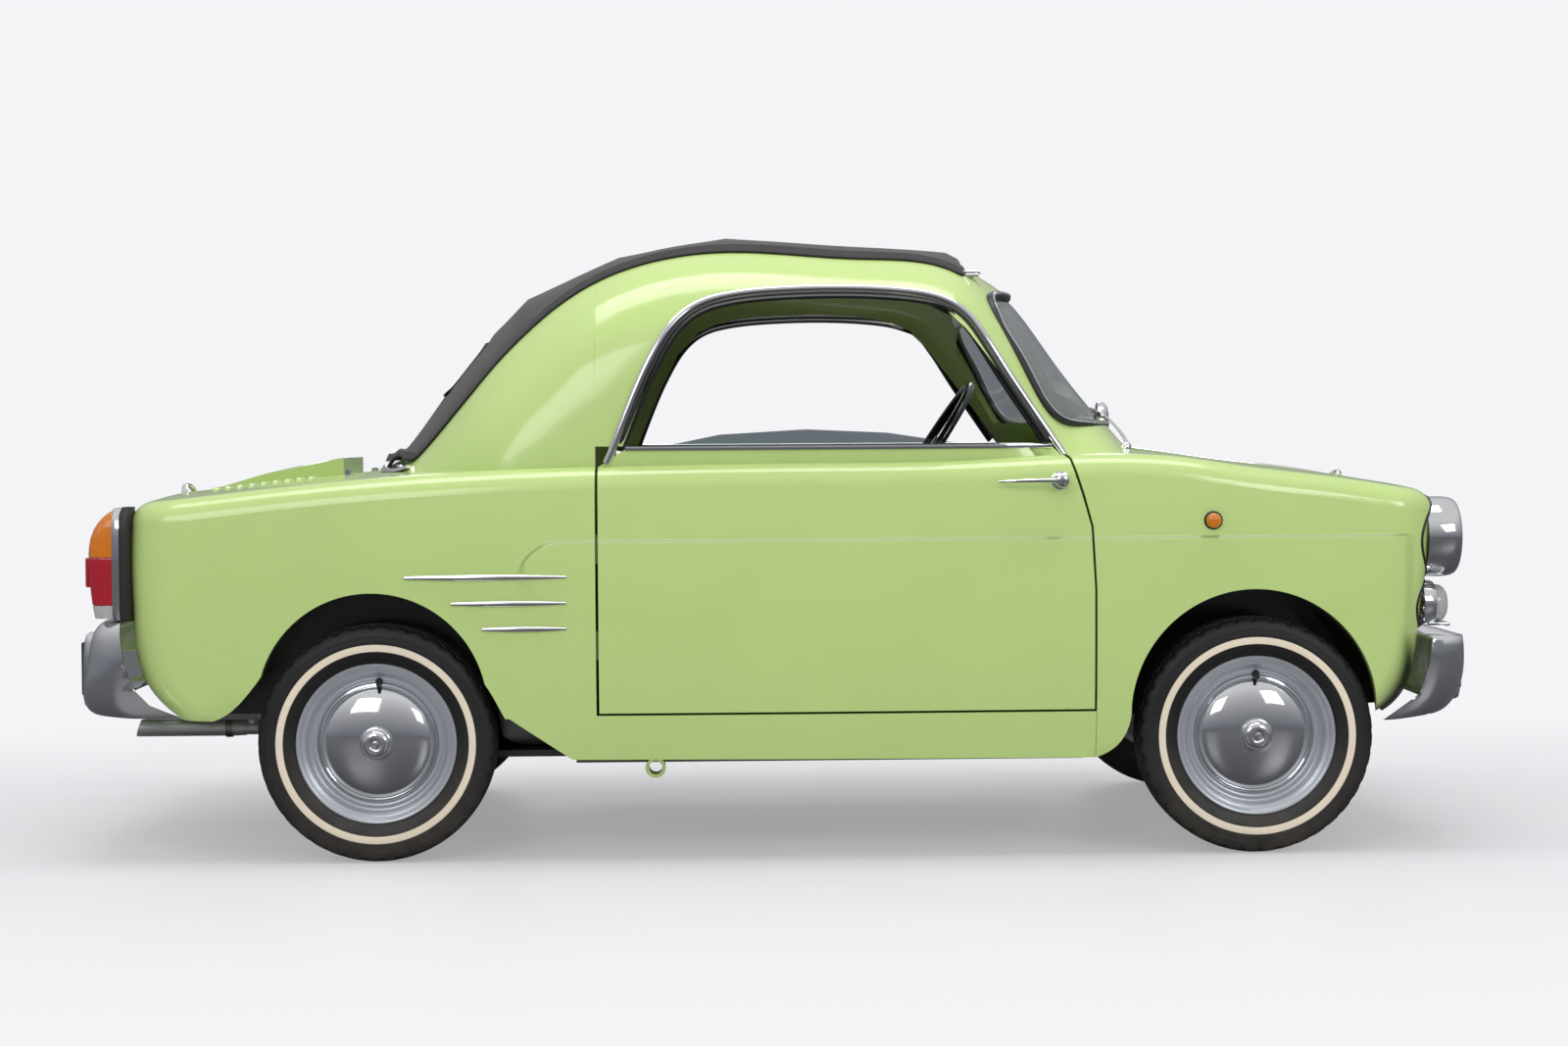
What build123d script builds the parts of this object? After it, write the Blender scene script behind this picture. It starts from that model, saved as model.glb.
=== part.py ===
"""A two-seat rear-engined microcar with a fabric roof, as an assembly of named pieces.

Millimetres. X points forward, Y to the car's left and Z up. The origin is on the ground,
in the middle of the overall length and width. Each node is written to parts/NODE.step.
"""
from build123d import *
import os
from math import cos, hypot, radians, sin

# ---------------------------------------------------------------- chassis
REAR_AXLE_X = -838
WHEELBASE = 1840
FRONT_AXLE_X = REAR_AXLE_X + WHEELBASE
FRONT_TRACK = 1121
REAR_TRACK = 1135
TYRE_RADIUS = 248
TYRE_WIDTH = 122
STUB_RADIUS = 20
KINGPIN_OFFSET = 92          # from the middle of the front tyre inward to the steering axis
WHEEL_CLEARANCE = 6          # round the space that a steered tyre sweeps
ARCH_LIP_Y = 600             # inner face of the front arch lips; the wells widen inside it
REAR_WELL_ROOM = 42          # between a rear tyre and its well's inner wall

# ---------------------------------------------------------------- lower body
HALF_WIDTH = 662             # at the waist
CORNER_RADIUS = 80           # of the body's corners in plan
END_BOW = 12                 # how far the nose and tail bulge in the middle
END_TAPER = 0.055            # how far the sides draw in at the ends
SHOULDER_RADIUS = 50
CROWN_DROP = 20              # how far the decks fall from the middle to the sides
SKIN = 12                    # thickness of lids and decks
SHUT_GAP = 5                 # gap round doors and lids
SEAT_GAP = 0.3               # between pieces that rest on each other
PANEL_GAP = 0.8              # between the front bumper and the body
LAMP_GAP = 0.45              # between the front lamps and the body
SILL_BOTTOM_Z = 212

# height, half width less the waist's, nose x, tail x
PLAN_LEVELS = (
    (190, -36, 1185, -1165),
    (280, -16, 1270, -1238),
    (335, -9, 1336, -1306),
    (400, -4, 1358, -1345),
    (475, -1, 1367, -1358),
    (575, 0, 1380, -1363),
    (660, -2, 1394, -1364),
    (740, -7, 1396, -1362),
    (880, -22, 1388, -1352),
)
# x and height of the middle of the bonnet and rear deck
CROWN = (
    (-1500, 745), (-1204, 778), (-1002, 800), (-799, 818), (-400, 836), (0, 842), (400, 846),
    (700, 856), (846, 848), (979, 828), (1145, 807), (1248, 792), (1331, 778), (1500, 745),
)

# ---------------------------------------------------------------- cabin
CABIN_BASE_Z = 760
CABIN_WALL = 28
CABIN_HALF_WIDTH = 575       # inside, between the doors
FLOOR_REAR_HALF_WIDTH = 455  # between the rear wheel wells
# x, half width, top, roundness across, roundness upward
CABIN_SECTIONS = (
    (-852, 400, 822, 2.0, 1.7), (-798, 455, 885, 2.0, 1.7), (-715, 530, 1004, 2.0, 1.71),
    (-600, 590, 1135, 2.2, 2.25), (-484, 604, 1215, 2.9, 2.9), (-400, 608, 1250, 3.55, 3.55),
    (-103, 612, 1313, 4, 4), (182, 612, 1296, 4, 4), (402, 610, 1263, 3.8, 3.8),
    (470, 608, 1237, 2.8, 2.92), (532, 606, 1200, 2.2, 2.06), (622, 603, 1087, 2, 1.34),
    (676, 600, 1009, 2, 1.4), (733, 590, 934, 2, 1.4), (782, 570, 866, 2, 1.4), (830, 540, 815, 2, 1.4),
)
BULKHEAD_X = -610            # face of the rear bulkhead
BULKHEAD_THICK = 14
BELT_Z = 856                 # top of the doors
FABRIC_THICK = 11
ROOF_HALF_WIDTH = 430        # of the fabric panel
HEADER_X = 408               # front edge of the fabric
BOW_WIDTH = 24
FABRIC_BASE_X = -846

# ---------------------------------------------------------------- shut lines
DOOR_REAR_X = -373
DOOR_FRONT_X = 657
DOOR_BOTTOM_Z = 310
BONNET = (790, 1322)         # x of its rear and front edges
BONNET_HALF_WIDTH = (420, 372)
ENGINE_LID = (-1366, -930)
ENGINE_LID_HALF_WIDTH = (330, 372)
COWL_REAR_X = 640
COWL_HALF_WIDTH = 612
TUB_HALF_WIDTH = 352         # inner wall of the front wheel wells
TRAY_HALF_WIDTH = 340        # luggage tray between the wells
TRAY_Z = 335                 # its upper face
TRAY_FRONT_X = 1240
FIREWALL_HALF_WIDTH = 557    # clear of the doors
ENGINE_BAY_HALF_WIDTH = 400
BAY_WALL_Y = ENGINE_BAY_HALF_WIDTH - 20      # inner faces of the engine bay's side walls
LEDGE = 16                   # width of the ledge that a lid rests on
FABRIC_LAP = 22              # how far the fabric laps over the roof opening's edge

# ---------------------------------------------------------------- fixings
JACK_X = -258
JACK_Z = 194
JACK_BORE_RADIUS = 14
JACK_LENGTH = 50
PLATE_SCREW_SPACING = 120
PLATE_Z = 600
PLATE_HOLE_RADIUS = 3.5

# ---------------------------------------------------------------- steering
COLUMN_Y = 300
WHEEL_RIM_RADIUS = 190
RIM_GRIP_RADIUS = 11
STEER_WHEEL_CENTRE = (390, COLUMN_Y, 850)

os.makedirs("parts", exist_ok=True)


def save(name, shape):
    """Write one node, as it lies on the car."""
    export_step(shape, f"parts/{name}.step")


def block(x, y, z):
    """A box between two values on each axis."""
    size = (x[1] - x[0], y[1] - y[0], z[1] - z[0])
    return Pos((x[0] + x[1]) / 2, (y[0] + y[1]) / 2, (z[0] + z[1]) / 2) * Box(*size)


def side_prism(points, y):
    """An outline in the side view (x, z), between two values of y."""
    outline = make_face(Polyline(*[(px, y[0], pz) for px, pz in points], close=True))
    return extrude(outline, y[1] - y[0], dir=(0, 1, 0))


def plan_prism(points, z):
    """An outline in the plan view (x, y), between two heights."""
    outline = make_face(Polyline(*[(px, py, z[0]) for px, py in points], close=True))
    return extrude(outline, z[1] - z[0], dir=(0, 0, 1))


def bar(start, end, radius):
    """A round bar between two points."""
    start, end = Vector(*start), Vector(*end)
    frame = Plane(origin=start, z_dir=end - start)
    return frame * Cylinder(radius, (end - start).length, align=(Align.CENTER, Align.CENTER, Align.MIN))


def y_disc(x, y, z, radius):
    """A cylinder across the car between two values of y."""
    across = Plane(origin=(x, y[0], z), x_dir=(1, 0, 0), z_dir=(0, 1, 0))
    return across * Cylinder(radius, y[1] - y[0], align=(Align.CENTER, Align.CENTER, Align.MIN))


def x_disc(x, y, z, radius):
    """A cylinder along the car between two values of x."""
    along = Plane(origin=(x[0], y, z), x_dir=(0, 1, 0), z_dir=(1, 0, 0))
    return along * Cylinder(radius, x[1] - x[0], align=(Align.CENTER, Align.CENTER, Align.MIN))


def mirrored(shape):
    """The same piece on the other side of the car."""
    return mirror(shape, about=Plane.XZ)


def both_sides(shape):
    """A piece and its mirror image, as solids of one node."""
    return Compound(children=list(shape.solids()) + list(mirrored(shape).solids()))


# ------------------------------------------------------------------------------ body forms
def stepped_spline(points, steps, periodic=False):
    """A curve through points at given steps; lofts of curves that share their steps stay light."""
    return Edge.make_spline([Vector(*point) for point in points], periodic=periodic, parameters=steps)


def run_lengths(points):
    """The distance along a closed ring of points to each of them, and back to the first."""
    ring = [Vector(*point) for point in points]
    steps = [0.0]
    for start, end in zip(ring, ring[1:] + ring[:1]):
        steps.append(steps[-1] + (end - start).length)
    return steps


def plan_points(height, narrower, nose, tail, grow=0.0):
    """Points round the body at one height: sides and ends nearly straight, joined by rounded corners."""
    middle = (nose + tail) / 2
    length = (nose - tail) / 2 + grow
    width = HALF_WIDTH + narrower + grow
    radius = CORNER_RADIUS + grow
    lead = 0.6 * radius
    corner = [(length - radius + radius * cos(radians(turn)), width - radius + radius * sin(radians(turn)))
              for turn in (0, 22.5, 45, 67.5, 90)]
    front = [(length, 0), (length, 0.5 * (width - radius)), (length, width - radius - lead), *corner]
    sides = [(share * (length - radius - lead), width) for share in (1, 0.68, 0.35, 0, -0.35, -0.68, -1)]
    half = front + sides + [(-x, y) for x, y in reversed(front)]
    points = []
    for x, y in half + [(x, -y) for x, y in reversed(half[1:-1])]:
        if abs(x) > length - radius:
            x -= (1 if x > 0 else -1) * END_BOW * (y / width) ** 2
        points.append((middle + x, y * (1 - END_TAPER * (x / length) ** 2), height))
    return points


def plan_outline(*level):
    """The body's outline at one height, as a face."""
    steps = run_lengths(plan_points(*PLAN_LEVELS[5]))
    return make_face(stepped_spline(plan_points(*level), steps, periodic=True))


def crown_solid(lower=0.0):
    """All that lies below the crowned decks."""
    sections = []
    edge = 700
    for x, z in CROWN:
        right, left = (x, -edge, z - CROWN_DROP - lower), (x, edge, z - CROWN_DROP - lower)
        arc = ThreePointArc(right, (x, 0, z - lower), left)
        frame = Polyline(left, (x, edge, 100), (x, -edge, 100), right)
        sections.append(make_face([arc, frame]))
    return loft(sections)


def body_stack(grow=0.0):
    """The lower body's sides and ends, carried on above the decks."""
    return loft([plan_outline(*level, grow) for level in PLAN_LEVELS])


def body_block():
    """The lower body as one smooth block, rounded along its shoulder."""
    crowned = body_stack() & crown_solid()
    top = crowned.faces().sort_by(Axis.Z)[-1]
    return fillet(top.edges(), SHOULDER_RADIUS)


def cabin_section(x, half, top, across, upward, inset=0.0):
    """One arch of the cabin, from side to side."""
    height, width = top - inset - CABIN_BASE_Z, half - inset
    points = []
    for step in range(-6, 7):
        angle = radians(15 * step)
        side = 1 if step > 0 else -1
        y = 0.0 if step == 0 else side * width * abs(sin(angle)) ** (2 / across)
        z = CABIN_BASE_Z if abs(step) == 6 else CABIN_BASE_Z + height * cos(angle) ** (2 / upward)
        points.append((x, y, z))
    curve = stepped_spline(points, [float(step) for step in range(len(points))])
    return make_face([curve, Line(points[-1], points[0])])


def cabin_block(inset=0.0):
    """The cabin above the waist: a loft of arches from the rear deck to the scuttle."""
    return loft([cabin_section(*section, inset) for section in CABIN_SECTIONS])


def arch_outline(centre, radius, from_angle, to_angle, front_leg, rear_leg):
    """A wheel arch in the side view: a round top whose legs flare out to the sill and the valance."""
    def on_arc(angle):
        return (centre[0] + radius * cos(radians(angle)), 0, centre[1] + radius * sin(radians(angle)))

    rear_leg = [(x, 0, z) for x, z in rear_leg]
    front_leg = [(x, 0, z) for x, z in front_leg]
    top = ThreePointArc(on_arc(to_angle), on_arc((from_angle + to_angle) / 2), on_arc(from_angle))
    front = Spline(on_arc(from_angle), *front_leg)
    rear = Spline(*rear_leg, on_arc(to_angle))
    base = Polyline(front_leg[-1], (front_leg[-1][0], 0, LOW), (rear_leg[0][0], 0, LOW), rear_leg[0])
    return make_face([top, front, base, rear])


FAR = 760                    # beyond the body on every side
LOW, HIGH = 100, 1500        # below and above all of it

# ------------------------------------------------------------------------------ whole body
lower_cut = side_prism(
    [(-1500, LOW), (-1500, 296), (-900, 300), (-560, 300), (-430, SILL_BOTTOM_Z),
     (700, SILL_BOTTOM_Z - 6), (760, 270), (1500, 270), (1500, LOW)], (-FAR, FAR))
front_arch = arch_outline((FRONT_AXLE_X - 8, 297), 260, 5, 176, [(1257, 282)],
                          [(640, 205), (686, 216), (717, 244), (731, 276)])
rear_arch = arch_outline((REAR_AXLE_X - 6, 323), 240, 12, 164,
                         [(-582, 326), (-556, 282), (-500, 240), (-432, 214)],
                         [(-1216, 296), (-1160, 304), (-1118, 336)])
lower_body = body_block()
outer = lower_body - lower_cut
outer = outer + cabin_block()
cabin_inner = cabin_block(CABIN_WALL)
under_crown = crown_solid(SKIN)

door_space = block((-425, DOOR_FRONT_X + SHUT_GAP), (-CABIN_HALF_WIDTH, CABIN_HALF_WIDTH), (LOW, 840))
bench_space = block((BULKHEAD_X, -424), (-FLOOR_REAR_HALF_WIDTH, FLOOR_REAR_HALF_WIDTH), (LOW, 840))
cabin_void = door_space + bench_space + cabin_inner
REAR_WELL_INNER = REAR_TRACK / 2 - TYRE_WIDTH / 2 - REAR_WELL_ROOM


def wheel_well(face, inner):
    """A wheel arch cut from well outside the body in to the well's inner wall, on the right side."""
    return extrude(Pos(0, -FAR, 0) * face, FAR - inner, dir=(0, 1, 0))


def steered_sweep():
    """The space the right front tyre sweeps inside its arch lip: part of a ball about the kingpin."""
    kingpin_y = FRONT_TRACK / 2 - KINGPIN_OFFSET
    reach = hypot(TYRE_RADIUS, KINGPIN_OFFSET + TYRE_WIDTH / 2) + WHEEL_CLEARANCE
    ball = Pos(FRONT_AXLE_X, -kingpin_y, TYRE_RADIUS) * Sphere(reach)
    top = 2 * TYRE_RADIUS + WHEEL_CLEARANCE
    return ball & block((FRONT_AXLE_X - FAR, FRONT_AXLE_X + FAR), (-ARCH_LIP_Y, -TUB_HALF_WIDTH),
                        (LOW, top))


front_wells = wheel_well(front_arch, TUB_HALF_WIDTH) + steered_sweep()
front_wells = front_wells + mirrored(front_wells)
rear_wells = wheel_well(rear_arch, REAR_WELL_INNER)
rear_wells = rear_wells + mirrored(rear_wells)
hollow = outer - cabin_void - front_wells - rear_wells

door_outline = [(DOOR_REAR_X, DOOR_BOTTOM_Z), (DOOR_REAR_X, 820), (-318, BELT_Z), (580, BELT_Z), (608, 830),
                (632, 756), (650, 690), (DOOR_FRONT_X, 560), (DOOR_FRONT_X, DOOR_BOTTOM_Z)]
door_opening = [(DOOR_REAR_X - SHUT_GAP, DOOR_BOTTOM_Z - SHUT_GAP), (DOOR_REAR_X - SHUT_GAP, 823),
                (-322, BELT_Z + 6), (588, BELT_Z + 6), (613, 833), (637, 758), (655, 691),
                (DOOR_FRONT_X + SHUT_GAP, 560), (DOOR_FRONT_X + SHUT_GAP, DOOR_BOTTOM_Z - SHUT_GAP)]
window = [(-322, BELT_Z - 10), (-322, 863), (-293, 935), (-262, 1007), (-220, 1089), (-168, 1144),
          (-106, 1171), (-24, 1181), (120, 1186), (224, 1181), (306, 1168), (358, 1145), (399, 1106),
          (580, 866), (580, BELT_Z - 10)]

# ------------------------------------------------------------------------------ doors
door = outer & side_prism(door_outline, (-FAR, -CABIN_HALF_WIDTH + 10))
glass_slot = block((-300, 560), (-596, -588), (560, 900))
door_step = block((DOOR_FRONT_X - 13, FAR), (-638, 0), (LOW, HIGH))     # lets the free edge swing out
door = door - glass_slot - door_step
save("right_door", door)
save("left_door", mirrored(door))
door_pane = [(-240, 560.3), (-240, 862), (-120, 886), (60, 896), (230, 888), (400, 862), (520, 800),
             (520, 560.3)]
door_glass = side_prism(door_pane, (-594, -590))
save("right_door_glass", door_glass)
save("left_door_glass", mirrored(door_glass))

# ------------------------------------------------------------------------------ lids
bonnet_plan = [(BONNET[0], -BONNET_HALF_WIDTH[0]), (BONNET[1], -BONNET_HALF_WIDTH[1]),
               (BONNET[1], BONNET_HALF_WIDTH[1]), (BONNET[0], BONNET_HALF_WIDTH[0])]
engine_plan = [(ENGINE_LID[0], -ENGINE_LID_HALF_WIDTH[0]), (ENGINE_LID[1], -ENGINE_LID_HALF_WIDTH[1]),
               (ENGINE_LID[1], ENGINE_LID_HALF_WIDTH[1]), (ENGINE_LID[0], ENGINE_LID_HALF_WIDTH[0])]


def grown(outline, by):
    """A four-cornered plan outline, pushed out on every side."""
    return [(x + (by if x > sum(p[0] for p in outline) / 4 else -by), y + (by if y > 0 else -by))
            for x, y in outline]


bonnet = (outer & plan_prism(bonnet_plan, (600, HIGH))) - under_crown
save("bonnet", bonnet)
engine_lid = (outer & plan_prism(engine_plan, (600, HIGH))) - under_crown
scoop_side = [(-1290, 700), (-1270, 770), (-1142, 806), (-1052, 823), (-985, 836), (-928, 846), (-928, 700)]
scoop = plan_prism([(-1250, -90), (-960, -170), (-960, 170), (-1250, 90)], (700, 900))
scoop = scoop & side_prism(scoop_side, (-200, 200))
engine_lid = engine_lid + (scoop - crown_solid(2))
save("engine_lid", engine_lid)

pocket_depth = crown_solid(SKIN + 4)
lid_pockets = (plan_prism(grown(bonnet_plan, SHUT_GAP), (600, HIGH)) - pocket_depth) + (
    plan_prism(grown(engine_plan, SHUT_GAP), (600, HIGH)) - pocket_depth)
body = hollow - lid_pockets - side_prism(door_opening, (-FAR, FAR)) - side_prism(window, (-FAR, FAR))

# ------------------------------------------------------------------------------ body panels
buffer_layer = crown_solid(SKIN + 0.3)
ledge = crown_solid(SKIN + 8)


def buffers(places):
    """Rubber rests on the ledge under a lid."""
    posts = [(Pos(x, side * y, 700) * Cylinder(7, 400)) & buffer_layer for x, y in places for side in (-1, 1)]
    return [post - ledge for post in posts]


boot_void = block((745, 1300), (-TRAY_HALF_WIDTH, TRAY_HALF_WIDTH), (TRAY_Z, 740))
boot_void = boot_void + plan_prism(grown(bonnet_plan, -LEDGE), (739, HIGH))
engine_void = block((-1320, -860), (-BAY_WALL_Y, BAY_WALL_Y), (LOW, 730))
engine_void = engine_void + plan_prism(grown(engine_plan, -LEDGE), (729, HIGH))
roof_edge = ROOF_HALF_WIDTH - FABRIC_LAP
roof_opening = plan_prism([(FABRIC_BASE_X + 30, -300), (-600, -roof_edge), (HEADER_X - 30, -roof_edge),
                           (HEADER_X - 30, roof_edge), (-600, roof_edge), (FABRIC_BASE_X + 30, 300)],
                          (860, HIGH))
body = body - boot_void - engine_void - roof_opening
screen_half = [(455, 1186), (486, 1100), (505, 1000), (512, 912)]        # half width at each height
screen_ring = [(400, -y, z) for y, z in screen_half] + [(400, y, z) for y, z in reversed(screen_half)]
panes = extrude(make_face(Polyline(*screen_ring, close=True)), 420, dir=(1, 0, 0))
windscreen = (cabin_block(8) - cabin_block(13)) & panes & block((470, 800), (-600, 600), (880, 1230))
save("windscreen", windscreen)
body = body - (panes & block((470, 860), (-600, 600), (880, 1230)))

for rest in buffers([(860, 411), (1240, 374), (-960, 362), (-1300, 330)]):
    body = body + rest
side = body & block((-1600, 1600), (-FAR, 0), (LOW, HIGH))
jack_ends = (-CABIN_HALF_WIDTH - JACK_LENGTH, -CABIN_HALF_WIDTH)
sill_zone = block((DOOR_REAR_X - 60, DOOR_FRONT_X + 4), (-FAR, -CABIN_HALF_WIDTH),
                  (LOW, DOOR_BOTTOM_Z - SHUT_GAP))
jack_tube = y_disc(JACK_X, jack_ends, JACK_Z, JACK_BORE_RADIUS + 6)
sill = (side & sill_zone) + jack_tube - y_disc(JACK_X, jack_ends, JACK_Z, JACK_BORE_RADIUS)
save("right_sill", sill)
save("left_sill", mirrored(sill))
quarter_zone = block((-1345, DOOR_REAR_X - SHUT_GAP - 1), (-FAR, -BAY_WALL_Y), (LOW, 870))
quarter_zone = quarter_zone + block((-1320, ENGINE_LID[1] + SHUT_GAP), (-FAR, -290), (735, 870))
quarter_zone = quarter_zone + block((-1345, -380), (-FAR, -100), (865, HIGH))
quarter = side & quarter_zone
quarter = quarter - block((DOOR_REAR_X - 60, 0), (-FAR, 0), (LOW, DOOR_BOTTOM_Z - SHUT_GAP))
for z in (420, 620):                                     # hinge seats, against the door's rear edge
    quarter = quarter + block((DOOR_REAR_X - SHUT_GAP - 8, DOOR_REAR_X - SEAT_GAP), (-635, -590), (z, z + 60))
save("right_rear_quarter", quarter)
save("left_rear_quarter", mirrored(quarter))
cowl_block = block((COWL_REAR_X, BONNET[0] - SHUT_GAP), (-COWL_HALF_WIDTH, COWL_HALF_WIDTH), (740, HIGH))
cowl_zone = cowl_block - crown_solid(SKIN)
fender_zone = (block((DOOR_FRONT_X + SHUT_GAP, 1330), (-FAR, -340), (LOW, HIGH)) +
               block((COWL_REAR_X, DOOR_FRONT_X + SHUT_GAP + 1), (-FAR, -340), (400, HIGH)) +
               block((560, COWL_REAR_X + 1), (-FAR, -340), (400, BELT_Z + 7)))
fender = (side & fender_zone) - (cowl_block - crown_solid(SKIN + SEAT_GAP))
save("right_front_fender", fender)
save("left_front_fender", mirrored(fender))
nose = body & (block((1330, 1500), (-FAR, FAR), (LOW, HIGH)) + block((1240, 1331), (-340, 340), (LOW, HIGH)))
save("nose_panel", nose)
tail = body & (block((-1500, -1345), (-FAR, FAR), (LOW, HIGH)) +
               block((-1346, -1320), (-BAY_WALL_Y, BAY_WALL_Y), (LOW, HIGH)))
for y in (-PLATE_SCREW_SPACING / 2, PLATE_SCREW_SPACING / 2):
    tail = tail - x_disc((-1500, -1300), y, PLATE_Z, PLATE_HOLE_RADIUS)
save("tail_panel", tail)
deck_zone = block((ENGINE_LID[1] + SHUT_GAP, FABRIC_BASE_X + 20), (-BAY_WALL_Y, BAY_WALL_Y), (700, 870))
rear_deck = (body & deck_zone) - crown_solid(SKIN)
save("rear_deck", rear_deck)
roof_frame = body & block((-379, COWL_REAR_X), (-FAR, FAR), (BELT_Z + 7, HIGH))
save("windscreen_frame", roof_frame)
cowl = body & cowl_zone
save("cowl", cowl)

# ------------------------------------------------------------------------------ fabric roof
fabric_right = [(FABRIC_BASE_X, -330), (-800, -395), (-650, -ROOF_HALF_WIDTH), (HEADER_X, -ROOF_HALF_WIDTH)]
fabric_plan = plan_prism(fabric_right + [(x, -y) for x, y in reversed(fabric_right)], (850, HIGH))
rear_window_cut = block((-800, -560), (-250, 250), (985, 1110))
fabric = ((cabin_block(-FABRIC_THICK) - cabin_block(-0.4)) & fabric_plan) - rear_window_cut
save("fabric_roof", fabric)
rear_window = (cabin_block(-6) - cabin_block(-3)) & rear_window_cut
save("rear_window", rear_window)
bow_band = cabin_block(3) - cabin_block(19)
bows = []
for x in (-560, -330, -100, 130):
    bows += (bow_band & block((x, x + BOW_WIDTH), (-roof_edge, roof_edge), (900, HIGH))).solids()
save("roof_bows", Compound(children=bows))

# ------------------------------------------------------------------------------ floor and bulkheads
floor_z = (200, 214)
tunnel = block((BULKHEAD_X, COWL_REAR_X), (-75, 75), (floor_z[0], 300))
tunnel_inside = block((BULKHEAD_X - 10, COWL_REAR_X + 10), (-61, 61), (LOW, 286))
floor_plate = block((BULKHEAD_X, COWL_REAR_X), (-CABIN_HALF_WIDTH, CABIN_HALF_WIDTH), floor_z)
rear_notch = block((BULKHEAD_X - 1, -425), (FLOOR_REAR_HALF_WIDTH, FAR), (LOW, 400))
save("floor_pan", floor_plate + tunnel - tunnel_inside - rear_notch - mirrored(rear_notch))
column_dir = Vector(0.839, 0, -0.545)
wheel_centre = Vector(*STEER_WHEEL_CENTRE)
firewall_x = DOOR_FRONT_X + SHUT_GAP - BULKHEAD_THICK
firewall = block((firewall_x, firewall_x + BULKHEAD_THICK), (-FIREWALL_HALF_WIDTH, FIREWALL_HALF_WIDTH),
                 (floor_z[0], 850))
firewall = firewall & crown_solid(SKIN + SEAT_GAP)
tray = block((firewall_x, TRAY_FRONT_X), (-TRAY_HALF_WIDTH, TRAY_HALF_WIDTH), (TRAY_Z - SKIN, TRAY_Z))
save("front_bulkhead", firewall + tray)
bulkhead = block((BULKHEAD_X - BULKHEAD_THICK, BULKHEAD_X), (-BAY_WALL_Y, BAY_WALL_Y), (floor_z[0], 748))
parcel_shelf = block((-845, BULKHEAD_X), (-BAY_WALL_Y, BAY_WALL_Y), (746, 760))
save("rear_bulkhead", bulkhead + parcel_shelf)

# ------------------------------------------------------------------------------ cabin fittings
dash_front = firewall_x - SEAT_GAP
dash_outline = [(586, 768), (586, 838), (606, 856), (639.7, 856), (639.7, 839.7), (dash_front, 839.7),
                (dash_front, 768)]
dash = side_prism(dash_outline, (-556, 556))
dash = dash & (block((500, 700), (-FAR, FAR), (LOW, 839.7)) + cabin_block(CABIN_WALL + SEAT_GAP))
save("dashboard", dash)
column = bar(wheel_centre + column_dir * 20.5, wheel_centre + column_dir * 360, 20)
save("steering_column", column - block((dash_front, 900), (0, 600), (0, 1200)))
wheel_frame = Plane(origin=wheel_centre, z_dir=-column_dir, x_dir=(0, 1, 0))
rim = wheel_frame * Torus(WHEEL_RIM_RADIUS - RIM_GRIP_RADIUS, RIM_GRIP_RADIUS)
hub = wheel_frame * Pos(0, 0, -8) * Cylinder(34, 24)
spoke = Pos(WHEEL_RIM_RADIUS / 2 - 6, 0, -3) * Box(WHEEL_RIM_RADIUS - 14, 18, 6)
spokes = [wheel_frame * Rot(0, 0, angle) * spoke for angle in (0, 180)]
save("steering_wheel", rim + hub + spokes[0] + spokes[1])


def seat(y):
    """A low bucket seat: a cushion and a reclined back."""
    cushion = side_prism([(-130, 318), (-140, 400), (290, 430), (318, 405), (318, 330)], (y - 215, y + 215))
    back_outline = [(-30, 408.4), (-139, 400.6), (-300, 800), (-280, 822), (-215, 820)]
    back = side_prism(back_outline, (y - 210, y + 210))
    return cushion, back


for name, y in (("driver_seat", COLUMN_Y), ("passenger_seat", -COLUMN_Y)):
    cushion, back = seat(y)
    save(name, Compound(children=[cushion, back]))
rails = [block((-120, 300), (y + side - 12, y + side + 12), (floor_z[1], 318))
         for y in (COLUMN_Y, -COLUMN_Y) for side in (-170, 170)]
save("seat_frames", Compound(children=rails))
bench_outline = [(-609.7, 214.3), (-609.7, 640), (-545, 640), (-520, 420), (-350, 420), (-345, 214.3)]
bench = side_prism(bench_outline, (-445, 445))
save("rear_bench", bench - block((-700, -300), (-75.3, 75.3), (200, 300.3)))

# ------------------------------------------------------------------------------ mechanical pieces
engine = block((-1290, -960), (-230, 230), (262, 620)) + block((-961, -640), (-110, 110), (225, 430))
save("engine", engine)
exhaust = bar((-1405, -200, 243), (-1150, -200, 243), 17) + bar((-1162, -200, 243), (-1162, -200, 262), 15)
save("exhaust", exhaust)

knuckle_y = FRONT_TRACK / 2 - KINGPIN_OFFSET
spring = block((FRONT_AXLE_X - 30, FRONT_AXLE_X + 30), (-knuckle_y - 15, knuckle_y + 15), (176, 192))
mount = block((FRONT_AXLE_X - 40, FRONT_AXLE_X + 40), (-90, 90), (190, 323))
arms = []
for side in (-1, 1):
    for dx in (-110, 110):
        arm = bar((FRONT_AXLE_X + dx, side * 335, 310), (FRONT_AXLE_X, side * knuckle_y, 342), 10)
        arms.append(arm - block((0, 1400), (-TUB_HALF_WIDTH - 0.3, TUB_HALF_WIDTH + 0.3), (LOW, 400)))
front_suspension = spring + mount
for arm in arms:
    front_suspension = front_suspension + arm
save("front_suspension", front_suspension)


def knuckle():
    """The right front steering knuckle: kingpin post, stub axle and brake back plate."""
    post = Cylinder(19, 328 - 194, align=(Align.CENTER, Align.CENTER, Align.MIN))
    post = Pos(FRONT_AXLE_X, -knuckle_y, 194) * post
    stub = y_disc(FRONT_AXLE_X, (-FRONT_TRACK / 2 - 5, -knuckle_y), TYRE_RADIUS, STUB_RADIUS)
    plate = y_disc(FRONT_AXLE_X, (-FRONT_TRACK / 2 + 36, -FRONT_TRACK / 2 + 42), TYRE_RADIUS, 88)
    return post + stub + plate


save("right_knuckle", knuckle())
save("left_knuckle", mirrored(knuckle()))

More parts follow.
